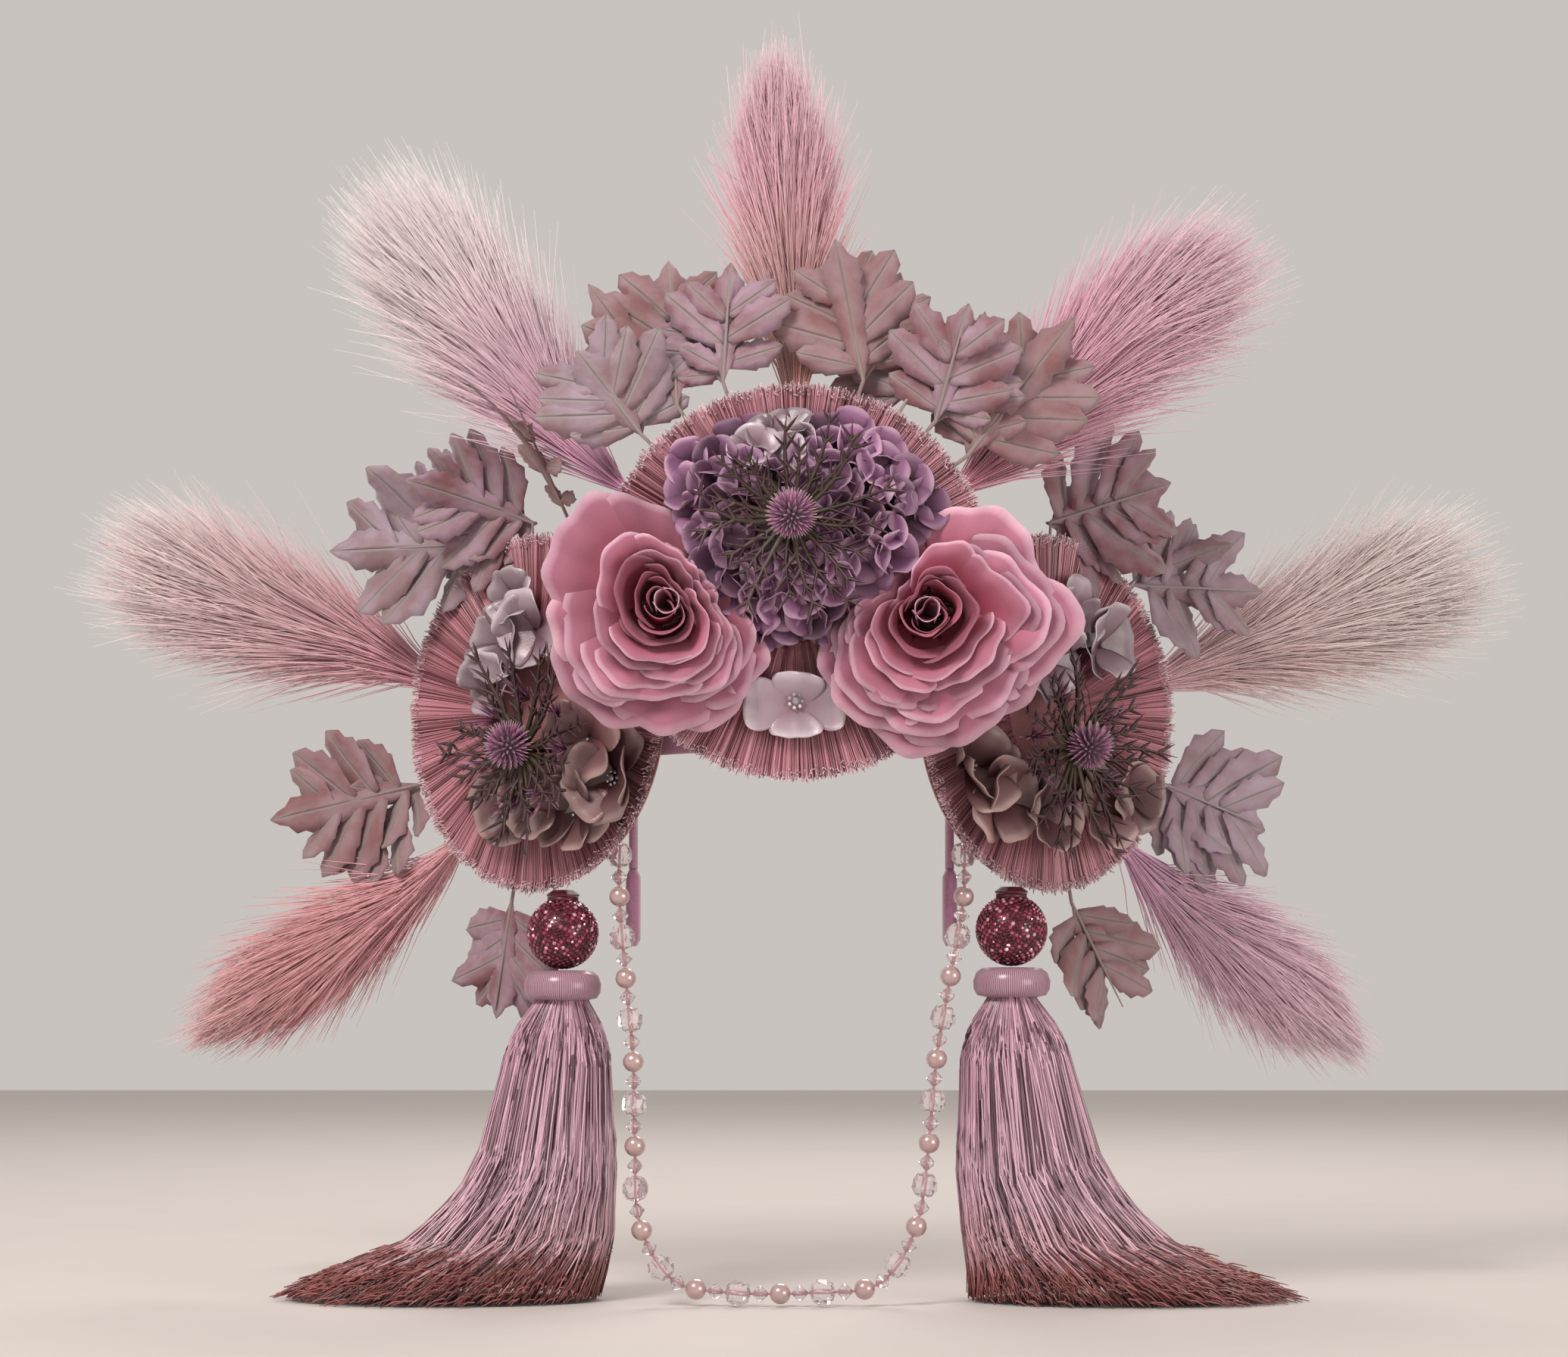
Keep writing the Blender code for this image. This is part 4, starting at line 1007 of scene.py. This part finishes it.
# %% Sea holly heads and bracts
THISTLES = {
    # name: (disc, u, v, length of stem, reach of the bracts)
    "thistle_centre": ("centre", -2, 26, 0, 54),
    "thistle_left": ("left", 16, -19, 20, 58),
    "thistle_right": ("right", -6, -19, 20, 58),
}
HEAD_RADIUS = 6.6
SPINE_LENGTH = 5.8
SPINES = 170
BRACTS = 22
BRACT_RADII = [1.2, 1.5, 1.4, 1.25, 1.0, 0.7, 0.2]
TUFTS = 7
TUFT_SPIKES = 16
HEAD_LIFT = 11.5
HYDRANGEA_TOP = 35.3


def spiral_ball(count):
    """Even directions on a ball, by a sunflower spiral."""
    height = 1 - 2 * (np.arange(count) + 0.5) / count
    return polar(np.sqrt(1 - height**2), np.arange(count) * GOLDEN_ANGLE, height)


def ball_profile(radius, rows):
    tilt = np.linspace(0.03, math.pi - 0.03, rows)
    return [(radius * math.sin(a), -radius * math.cos(a)) for a in tilt]


def bracts(disc, place, reach, seed):
    """Long bracts with pairs of side spikes, which bend up at their tips."""
    rng = np.random.default_rng(seed)
    ribs, spikes = [], []
    for k in range(BRACTS):
        turn = 2 * math.pi * (k + rng.uniform(-0.3, 0.3)) / BRACTS
        far = reach * rng.uniform(0.65, 1.08)
        t = np.linspace(0, 1, len(BRACT_RADII))
        rise = rng.uniform(2, 14) * t + rng.uniform(-5, 9) * t**2
        swing = turn + rng.normal(0, 0.22) * t**2
        rib = place + polar(far * t, swing, 2 + rise)
        ribs.append(rib)
        for at in (2, 3, 4, 5):
            for sign in (1, -1):
                ahead = unit(rib[at + 1] - rib[at - 1])
                out = np.cross(ahead, (0, 0, 1)) * sign
                spike = ahead * 0.9 + out * rng.uniform(0.5, 0.9) + (0, 0, rng.uniform(-0.2, 0.5))
                spike = spike * rng.uniform(5, 10)
                spikes.append([rib[at], rib[at] + spike * 0.55, rib[at] + spike + (0, 0, 0.8)])
    heap = Heap()
    lay_fibres(heap, on_disc(disc, ribs), BRACT_RADII, rng.random(len(ribs)))
    lay_fibres(heap, on_disc(disc, spikes), [1.15, 0.85, 0.15], rng.random(len(spikes)), 0.4, 1.0)
    return heap


def tufts(disc, place, reach, seed):
    """Small heather tufts between the bracts: short stems that burst into pink spikes."""
    rng = np.random.default_rng(seed)
    rows = []
    for k in range(TUFTS):
        turn = 2 * math.pi * (k + rng.uniform(-0.3, 0.3)) / TUFTS
        foot = place + polar(0.42 * reach, turn, -4.0)
        out = polar(0.5, turn, 0.9)
        for _ in range(TUFT_SPIKES):
            spike = (out + rng.normal(0, 0.3, 3)) * rng.uniform(9, 14)
            rows.append([foot, foot + spike * 0.6, foot + spike])
    heap = Heap()
    lay_fibres(heap, on_disc(disc, rows), [0.45, 0.6, 0.15], rng.random(len(rows)))
    return fibres("tufts", heap, tuft_plastic)


def thistle(name, seed):
    disc, u, v, stem, reach = THISTLES[name]
    lift = DISC_WALL + MOUNTED + (stem if stem else HYDRANGEA_TOP)
    place = np.array((u, v, lift))
    centre = place + (0, 0, HEAD_LIFT)
    ways = spiral_ball(SPINES)
    ways = ways[ways[:, 2] > -0.75]
    spine = [(0.75, -0.6), (0.5, 0.5 * SPINE_LENGTH), (0.06, SPINE_LENGTH)]
    made = copies(name + "_spines", on_disc(disc, centre + ways * HEAD_RADIUS), ways @ facing(disc),
                  1 + 0.25 * np.sin(np.arange(len(ways)) * 2.4), spine, 5, thistle_foam, seed)
    core = lathe(Heap(), ball_profile(HEAD_RADIUS + 0.4, 9), 16, along=0.0, tone=0.3)
    core.points = [on_disc(disc, core.points[0] + centre)]
    star = bracts(disc, place, reach, seed)
    foot = (u, v, DISC_WALL + MOUNTED if stem else lift - 6)
    lay_fibres(star, [on_disc(disc, [foot, place, centre])], [2.0, 1.9, 1.8], [0.4], 0.2, 0.4)
    extra = [core.object(name + "_core", thistle_foam), fibres(name + "_bracts", star, bract_plastic)]
    if stem:
        extra.append(tufts(disc, place, reach, seed))
    return joined(made, *extra)


for seed, name in enumerate(THISTLES):
    place_piece(thistle(name, 80 + seed), "thistle", name)

# %% [markdown]
# ## Leaves
#
# The leaves are printed cloth, cut with deep forward lobes and fine teeth, pressed with veins and bent by
# hand. One toothed blade serves for the middle and, smaller, for each lobe beside it. Most stems carry a
# second, smaller leaf.

# %% Leaf blades
LEAVES = {
    # name: (disc, seat on the disc, tip, half width, pairs of lobes)
    "leaf_top_left_a": ("centre", (-44, 66), (-60, -54, 165), 32, 4),
    "leaf_top_left_b": ("centre", (-56, 54), (-102, -93, 110), 29, 4),
    "leaf_top_left_c": ("centre", (-26, 72), (-29, -80, 156), 24, 3),
    "leaf_top_right_a": ("centre", (24, 72), (21, -80, 164), 29, 4),
    "leaf_top_right_b": ("centre", (40, 66), (56, -46, 136), 27, 3),
    "leaf_top_right_c": ("centre", (50, 58), (84, -95, 132), 27, 3),
    "leaf_top_right_d": ("centre", (62, 46), (134, -66, 126), 32, 4),
    "leaf_left_a": ("left", (-30, 66), (-234, 46, 28), 34, 4),
    "leaf_left_b": ("left", (-6, 74), (-190, 10, 62), 29, 4),
    "leaf_left_curled": ("left", (14, 72), (-140, -92, 106), 13, 3),
    "leaf_right_a": ("right", (50, 50), (240, 50, 8), 29, 4),
    "leaf_right_b": ("right", (6, 74), (190, 8, 58), 32, 4),
    "leaf_low_left": ("left", (-66, -24), (-266, 72, -108), 32, 4),
    "leaf_low_right": ("right", (66, -24), (244, 72, -112), 34, 4),
    "leaf_under_left": ("left", (-16, -70), (-148, 24, -208), 30, 4),
    "leaf_under_right": ("right", (16, -70), (166, 12, -206), 29, 4),
}
LEAF_COLUMNS = np.array([[0.0, 0.12, 0.5, 1.0]])
LOBE_OUTLINE = ([0.0, 0.25, 0.55, 0.85, 1.0], [0.42, 0.8, 1.0, 0.62, 0.05])
RIB_OUTLINE = ([0.0, 0.12, 0.5, 0.8, 1.0], [0.08, 0.5, 0.8, 1.0, 0.04])
LOBE_TEETH = 4
RIB_TEETH = 9
TOOTH_DEPTH = 0.2
# Shares of the rib: where lobes start, and how far they go on. Their lean in degrees and reach follow it
FIRST_LOBE, LOBED_RUN = 0.1, 0.6
LOBE_LEAN = ([0.1, 0.7], [66, 38])
LOBE_REACH = ([0.1, 0.3, 0.7], [0.8, 1.1, 0.62])
STALK_BACK = -1.1
STALK_RADII = [0.9, 0.9, 1.0, 0.8, 0.3]
# A direction that no stalk runs along
OFF_AXIS = (0.31, 0.87, 0.38)
NO_SPRAY = ("leaf_left_curled", "leaf_under_left", "leaf_under_right")


def blade(heap, root, tip, front, half, outline, teeth, rng, tone):
    """A toothed blade folded along its rib: every other row is drawn in, which cuts the teeth."""
    rib = np.asarray(tip, float) - root
    length, along = np.linalg.norm(rib), unit(rib)
    across = unit(np.cross(along, front))
    face = np.cross(across, along)
    face = face if np.dot(face, front) > 0 else -face
    t = np.linspace(0, 1, 2 * teeth + 1)[:, None]
    point = (np.arange(len(t)) % 2)[:, None]
    wide = half * np.interp(t, *outline) * (1 - TOOTH_DEPTH * (1 - point))
    fold, bend = rng.uniform(0.1, 0.32), rng.normal(0.0, 0.12)
    for sign in (1, -1):
        s = LEAF_COLUMNS
        run = length * t + wide * s * 0.35 * (1 - t) + point * s * 0.35 * length / teeth * (1 - t)
        lift = -fold * wide * s + bend * length * t**2 + 0.7 * np.sin(9 * t + sign) * s
        points = root + run[..., None] * along + (sign * wide * s)[..., None] * across + lift[..., None] * face
        vein = np.exp(-((s * wide / 1.1) ** 2)) + 0.0 * run
        faces = grid_faces(len(t), LEAF_COLUMNS.size)
        heap.add(points, [f[::-1] for f in faces] if sign > 0 else faces, vein=vein,
                 along=np.broadcast_to(s, run.shape), tone=tone)


def lobed_leaf(heap, rim, tip, front, half, lobes, rng, tone=0.8):
    """A rib with pairs of forward lobes, the longest a third of the way up."""
    rib = np.asarray(tip, float) - rim
    across = unit(np.cross(rib, front))
    blade(heap, rim, tip, front, half * 0.36, RIB_OUTLINE, RIB_TEETH, rng, tone)
    for k in range(lobes):
        for sign in (1, -1):
            at = FIRST_LOBE + LOBED_RUN * (k + 0.25 * (sign > 0)) / lobes
            lean = math.radians(np.interp(at, *LOBE_LEAN) + rng.normal(0, 5))
            reach = half * 1.38 * np.interp(at, *LOBE_REACH) * rng.uniform(0.9, 1.1)
            way = math.cos(lean) * unit(rib) + sign * math.sin(lean) * across + rng.normal(0, 0.1) * np.asarray(front)
            root = rim + at * rib - (0.5 + 0.12 * k) * np.asarray(front)
            blade(heap, root, root + reach * unit(way), front, reach * 0.28, LOBE_OUTLINE, LOBE_TEETH, rng, tone)


def stalk(heap, points, radius, sides=6):
    """A tapered stem through a few points, closed at both ends."""
    points = np.asarray(points, float)
    heading = np.gradient(points, axis=0)
    turn = np.linspace(0, 2 * math.pi, sides, endpoint=False)[:, None]
    rings = []
    for point, ahead, r in zip(points, heading, radius):
        side = unit(np.cross(ahead, OFF_AXIS))
        over = unit(np.cross(ahead, side))
        rings.append(point + r * (np.cos(turn) * side + np.sin(turn) * over))
    faces = [f[::-1] for f in tube_faces(len(points), sides)]
    heap.add(np.array(rings), faces, vein=0.9, along=0.0, tone=0.6)


def leaf(name, seed):
    disc, seat, tip, half, lobes = LEAVES[name]
    rng = np.random.default_rng(seed)
    outward = unit(seat) * (DISC_PLACE[disc][2] + RIM_CLEAR)
    base, rim = on_disc(disc, [(*seat, STALK_BACK), (*outward, STALK_BACK)])
    front = facing(disc)[2]
    tip = np.asarray(tip, float)
    heap = Heap()
    lobed_leaf(heap, rim, tip, front, half, lobes, rng)
    # A smaller blade behind most of them fills the spray
    if name not in NO_SPRAY:
        side = unit(np.cross(tip - rim, front)) * (1 if seed % 2 else -1)
        shorter = rim + (tip - rim) * 0.74 + side * 0.42 * np.linalg.norm(tip - rim)
        lobed_leaf(heap, rim - 3.5 * front, shorter - 7.0 * front, front, half * 0.75, 3, rng, tone=0.5)
    cloth = leaf_cloths[seed % len(leaf_cloths)]
    made = walled(heap.object(name + "_cloth", cloth), levels=0)
    stem = Heap()
    stalk(stem, [base, (base + rim) / 2, rim, rim + (tip - rim) * 0.4, rim + (tip - rim) * 0.93], STALK_RADII)
    return made, stem.object(name + "_stem", cloth)


for seed, name in enumerate(LEAVES):
    place_piece(joined(*leaf(name, seed + 40)), "leaf", name)

# %% [markdown]
# ## Tassels
#
# Each side ends in a ball of pavé crystals, a ring wound with satin yarn and a long skirt of satin
# strands that spreads on the floor. The skirt's strands are fibre paths that follow a table of
# sections; the ends break outwards, darker and frayed, where they meet the floor.

# %% Skirts of satin strands
SKIRTS = {
    # side: sections of height, shift of the middle, half across, half depth
    "left": [(-196.8, 0, 12, 12), (-215, -2, 25, 22), (-250, -4, 31, 26), (-285, -8, 35, 30), (-308, -15, 42, 34),
             (-326, -38, 62, 40), (-336, -52, 74, 46), (-343.6, -58, 78, 48)],
    "right": [(-196.8, 0, 12, 12), (-215, 1, 26, 22), (-250, 4, 32, 26), (-285, 9, 37, 30), (-308, 17, 44, 34),
              (-326, 38, 60, 40), (-336, 50, 74, 46), (-343.6, 56, 80, 48)],
}
SKIRT_STRANDS = 1900
SKIRT_RUN = np.array([0, 0.13, 0.42, 0.66, 0.86, 1.0])
SKIRT_RADII = np.array([0.42, 0.5, 0.5, 0.5, 0.42, 0.22])
SKIRT_BACK_SHIFT = 7.0
SKIRT_ROWS = 60
SMOOTHINGS = 12
FRAYED_ENDS = 1100


def tassel_middle(side):
    """The middle of a tassel's ball, ring and skirt in x and y."""
    low, high = box_mm("tassel_ball_" + side)
    return (low + high)[:2] / 2


def skirt_table(side):
    """The sections, at even steps along the outer strand, with the corners between them rounded off."""
    table = np.array(SKIRTS[side], float)
    outer = np.abs(table[:, 1]) + table[:, 2]
    step = np.hypot(np.diff(table[:, 0]), np.diff(outer))
    run = np.concatenate([[0], np.cumsum(step)]) / step.sum()
    fine = looked_up(np.linspace(0, 1, SKIRT_ROWS), run, table)
    for _ in range(SMOOTHINGS):
        fine[1:-1] = (fine[:-2] + 2 * fine[1:-1] + fine[2:]) / 4
    return fine


def skirt(side, seed):
    rng = np.random.default_rng(seed)
    x0, y0 = tassel_middle(side)
    table = skirt_table(side)
    heap = Heap()
    angle = rng.random(SKIRT_STRANDS) * 2 * math.pi
    lock = np.sin(angle * 9 + 1.7 * np.sin(angle * 4))
    inner = rng.random(SKIRT_STRANDS)
    run = SKIRT_RUN + rng.uniform(-0.07, 0.07, (SKIRT_STRANDS, 1)) * np.sign(SKIRT_RUN * (1 - SKIRT_RUN))
    place = run * (1 - 0.1 * inner[:, None] ** 3) * (len(table) - 1)
    height, shift, across, depth = np.moveaxis(looked_up(place, range(len(table)), table), -1, 0)
    # Fine strands wander a little from their neighbours, and cross them
    sway = angle[:, None] + rng.normal(0, 0.07, (SKIRT_STRANDS, 1)) * SKIRT_RUN + rng.normal(0, 0.03, place.shape)
    share = 0.97 - 0.2 * inner[:, None] ** 2 + 0.015 * lock[:, None] * np.clip(SKIRT_RUN * 3, 0, 1)
    x = x0 + shift + across * np.cos(sway) * share
    y = y0 + SKIRT_BACK_SHIFT * SKIRT_RUN + depth * np.sin(sway) * share
    z = height + 3.0 * rng.random((SKIRT_STRANDS, 1)) * (SKIRT_RUN > 0.8)
    points = np.stack([x, y, np.maximum(z, FLOOR_Z / MM + 0.7)], axis=2)
    # Painted shade: strands in the hollows between locks are a little darker, over a random tone
    tone = np.clip(0.55 + 0.06 * lock + rng.normal(0, 0.38, SKIRT_STRANDS), 0, 1)
    lay_fibres(heap, points, SKIRT_RADII, tone)
    # On the floor the cut ends fray into short loose hairs
    turn = rng.random(FRAYED_ENDS) * 2 * math.pi
    at = rng.uniform(0.72, 1.0, FRAYED_ENDS) * (len(table) - 1)
    height, shift, across, depth = looked_up(at, range(len(table)), table).T
    foot = np.stack([x0 + shift + across * np.cos(turn) * 0.95, y0 + 6 + depth * np.sin(turn) * 0.95, height + 1.5],
                    axis=1)
    hair = np.stack([np.cos(turn) * 5 + 0.14 * shift + rng.normal(0, 1.6, FRAYED_ENDS),
                     np.sin(turn) * 5 + rng.normal(0, 1.6, FRAYED_ENDS), rng.uniform(-5, -1, FRAYED_ENDS)], axis=1)
    rows = np.stack([foot, foot + hair * 0.5 + (0, 0, 1.0), foot + hair], axis=1)
    rows[..., 2] = np.maximum(rows[..., 2], FLOOR_Z / MM + 0.5)
    lay_fibres(heap, rows, [0.4, 0.42, 0.2], 0.35 + 0.65 * rng.random(FRAYED_ENDS), 0.8, 1.0)
    return fibres("skirt_strands_" + side, heap, skirt_satin)


for seed, side in enumerate(SKIRTS):
    place_piece(skirt(side, 60 + seed), "tassel_satin", "tassel_skirt_" + side)

# %% [markdown]
# The ball is resin set with small foil-backed stones, edge to edge, some of them bright with painted glints. They
# follow a sunflower spiral, so the rows never line up into seams. The ring below it is satin yarn wound round and
# round, which a turned outline with fine upright ridges gives, with painted shade in the grooves between the windings.
# The caps over the balls keep their imported solids.

# %% Crystal balls and wound rings
BALL_STONES = 660
STONE_RADIUS = 1.16
BALL_SIDES = 28
NECK_RADIUS = 7.6
RING_OUTLINE = [
    # radius and height of the ring, from its upper hole round to its lower one
    (11, 0.2), (14.5, -0.3), (17.2, -2.4), (18.6, -6.5), (18.3, -10.5), (16.6, -13.4), (13, -14.3), (8, -14.3),
]
RING_ROWS = 15
RING_WINDINGS = 110
for seed, side in enumerate(("left", "right")):
    low, high = box_mm("tassel_ball_" + side)
    centre, radius = (low + high) / 2, (high[2] - low[2]) / 2
    ways = spiral_ball(BALL_STONES)
    stones = copies("ball_crystals_" + side, centre + ways * (radius - 0.75), ways, STONE_RADIUS,
                    CUT_STONE, 6, ruby_gem, 5 + seed)
    core = lathe(Heap(), ball_profile(radius - 0.8, 15), BALL_SIDES)
    neck = [(0.1, -3.0), (NECK_RADIUS, -2.5), (NECK_RADIUS, 0.1), (0.1, 0.1)]
    lathe(core, [(r, radius + z) for r, z in neck], BALL_SIDES)
    core.points = [points + centre for points in core.points]
    place_piece(joined(stones, core.object("ball_core", ruby_resin)), "ruby_crystal", "tassel_ball_" + side)

    top = box_mm("tassel_ring_" + side)[1][2]
    outline = looked_up(np.linspace(1, 0, RING_ROWS), np.linspace(0, 1, len(RING_OUTLINE)), RING_OUTLINE)
    ridge = np.tile(np.arange(2 * RING_WINDINGS) % 2, RING_ROWS)
    # Painted shade: the grooves between windings get a dark tone and the ridges a lighter one
    yarn = lathe(Heap(), outline, 2 * RING_WINDINGS, along=0.2, tone=0.1 + 0.55 * ridge)
    yarn.points = [yarn.points[0] * (1 + 0.012 * ridge[:, None] * (1, 1, 0)) + (centre[0], centre[1], top - 0.2)]
    place_piece(yarn.object("ring_yarn_" + side, skirt_satin), "tassel_satin", "tassel_ring_" + side)

# %% [markdown]
# ## The string of beads
#
# One string hangs from behind the side discs and swings low across the front. Large cut crystals and
# rose pearls take turns, with a small bicone between each two. The beads are copies on a smooth route,
# and the pink thread runs through all of them.

# %% Beads on their thread
SWAG_END = 48
SWAG_BEHIND = -6.9
SWAG_ROUTE = [
    (-80, -34, -190), (-76.5, -36, -226), (-75.5, -38, -268), (-73, -41, -305), (-57, -45, -331.5), (-30, -48, -337.3),
    (10, -49, -337.3), (42, -47, -333), (60, -43, -306), (66, -40, -268), (70, -38, -226), (77, -36, -186),
]
STRING_STEPS = 600
BEADS = {
    # kind: (length on the string, sides, outline as (radius, height), finish)
    "crystal": (13.0, 10, [(1.0, -6.2), (4.2, -5.2), (6.2, -2.0), (6.2, 2.0), (4.2, 5.2), (1.0, 6.2)], clear_crystal),
    "pearl": (10.4, 16, ball_profile(5.1, 11), pearl_lacquer),
    "bicone": (7.9, 8, [(0.8, -3.7), (3.9, -0.4), (3.9, 0.4), (0.8, 3.7)], clear_crystal),
}
BEAD_ORDER = ["crystal", "bicone", "pearl", "bicone"]
left_end = on_disc("left", [(SWAG_END, -64, SWAG_BEHIND), (SWAG_END, -92, SWAG_BEHIND)])
right_end = on_disc("right", [(-SWAG_END, -92, SWAG_BEHIND), (-SWAG_END, -64, SWAG_BEHIND)])
string = smooth_path([*left_end, *SWAG_ROUTE, *right_end], STRING_STEPS)
string_length = np.linalg.norm(np.diff(string, axis=0), axis=1).sum()
repeats = round((string_length - BEADS["crystal"][0]) / sum(BEADS[kind][0] for kind in BEAD_ORDER))
order = BEAD_ORDER * repeats + ["crystal"]
spacing = np.array([BEADS[kind][0] for kind in order])
centres = (np.cumsum(spacing) - spacing / 2) / spacing.sum() * (STRING_STEPS - 1)
strung = []
for seed, (kind, (_, sides, outline, finish)) in enumerate(BEADS.items()):
    at = centres[np.array(order) == kind]
    places, ahead = (looked_up(at, range(STRING_STEPS), rows) for rows in (string, np.gradient(string, axis=0)))
    strung.append(copies("beads_" + kind, places, ahead, 1.0, outline, sides, finish, seed, smooth=kind == "pearl",
                         twist=1.0 if kind == "crystal" else 0.0))
    print(kind, len(at), "beads")
thread = Heap()
lay_fibres(thread, [string[::4]], 0.7, [0.5])
place_piece(joined(*strung, fibres("swag_thread", thread, pink_thread, sides=6)), "beads", "bead_swag")

# %% [markdown]
# ## The band
#
# Under the flowers is a plain alice band, covered in mauve wool felt, with thicker covered ends, and a
# felt band round the forehead that the discs are sewn to. Each is a rounded strip drawn along a path.

# %% Felt strips
HEAD_HALF_WIDTH = 76
HEAD_HALF_DEPTH = 88
HEAD_CENTRE_Y = 5
BAND_STRAIGHT_TOP = -66
BAND_WALL = 4.0
BACKING_WALL = 3.0
BACKING_END_Y = -11.3
STRIP_SIDES, ARCH_STEPS, SLEEVE_STEPS, BACKING_STEPS = 20, 41, 12, 49
SLEEVE_END = 4.0


def felt_strip(name, path, width_way, width, wall):
    """A strip with rounded edges along a path, with its ends closed."""
    path = np.asarray(path, float)
    thick = np.cross(unit(np.gradient(path, axis=0)), width_way)
    turn = np.linspace(0, 2 * math.pi, STRIP_SIDES, endpoint=False)
    round_x = np.sign(np.cos(turn)) * np.abs(np.cos(turn)) ** 0.35
    round_y = np.sign(np.sin(turn)) * np.abs(np.sin(turn)) ** 0.8
    rings = path[:, None] + thick[:, None] * (wall / 2 * round_y)[None, :, None]
    rings = rings + np.array(width_way) * (width / 2 * round_x)[None, :, None]
    heap = Heap()
    heap.add(rings, tube_faces(len(path), STRIP_SIDES))
    made = heap.object(name, band_felt)
    shell = bmesh.new()
    shell.from_mesh(made.data)
    bmesh.ops.recalc_face_normals(shell, faces=shell.faces)
    shell.to_mesh(made.data)
    shell.free()
    return made


low, high = box_mm("headband")
half_wide = high[0] - BAND_WALL / 2
arch_rise = high[2] - BAND_WALL / 2 - BAND_STRAIGHT_TOP
arch = [(half_wide * math.cos(a), 0, BAND_STRAIGHT_TOP + arch_rise * math.sin(a))
        for a in np.linspace(math.pi, 0, ARCH_STEPS)]
legs = [(-half_wide, 0, low[2]), (-half_wide, 0, (low[2] + BAND_STRAIGHT_TOP) / 2)]
path = legs + arch + [(-x, y, z) for x, y, z in legs[::-1]]
place_piece(felt_strip("headband_felt", path, (0, 1, 0), high[1] - low[1], BAND_WALL), "mauve_felt", "headband")

for side in ("left", "right"):
    low, high = box_mm("band_sleeve_" + side)
    middle = (low + high) / 2
    column = [(middle[0], middle[1], z) for z in np.linspace(high[2], low[2], SLEEVE_STEPS)]
    made = felt_strip("sleeve_felt_" + side, column, (0, 1, 0), high[1] - low[1], high[0] - low[0])
    rim = np.array([v.co.z / MM for v in made.data.vertices])
    squeeze = 1 - 0.5 * np.clip(1 - np.minimum(high[2] - rim, rim - low[2]) / SLEEVE_END, 0, 1) ** 2
    for vertex, share in zip(made.data.vertices, squeeze):
        vertex.co.x = middle[0] * MM + (vertex.co.x - middle[0] * MM) * share
        vertex.co.y = middle[1] * MM + (vertex.co.y - middle[1] * MM) * (0.5 + 0.5 * share)
    place_piece(made, "mauve_felt", "band_sleeve_" + side)

low, high = box_mm("disc_backing")
start = math.asin((HEAD_CENTRE_Y - BACKING_END_Y) / HEAD_HALF_DEPTH)
round_head = [(HEAD_HALF_WIDTH * math.cos(a), HEAD_CENTRE_Y + HEAD_HALF_DEPTH * math.sin(a), (low[2] + high[2]) / 2)
              for a in np.linspace(math.pi + start, 2 * math.pi - start, BACKING_STEPS)]
made = felt_strip("backing_felt", round_head, (0, 0, 1), high[2] - low[2], BACKING_WALL)
place_piece(made, "mauve_felt", "disc_backing")

for side in ("left", "right"):
    cap = bpy.data.objects["tassel_cap_" + side]
    for slot in cap.material_slots:
        slot.material = ruby_resin
print("band, sleeves, backing and caps dressed")

# %% [markdown]
# ## Sizes and the table of pieces
# The number of pieces and their triangles is printed.
# The dressed model has to keep the imported model's size, so both boxes are written down.

# %% Count the pieces
print(len(pieces), "pieces,", sum(pieces.values()), "triangles")
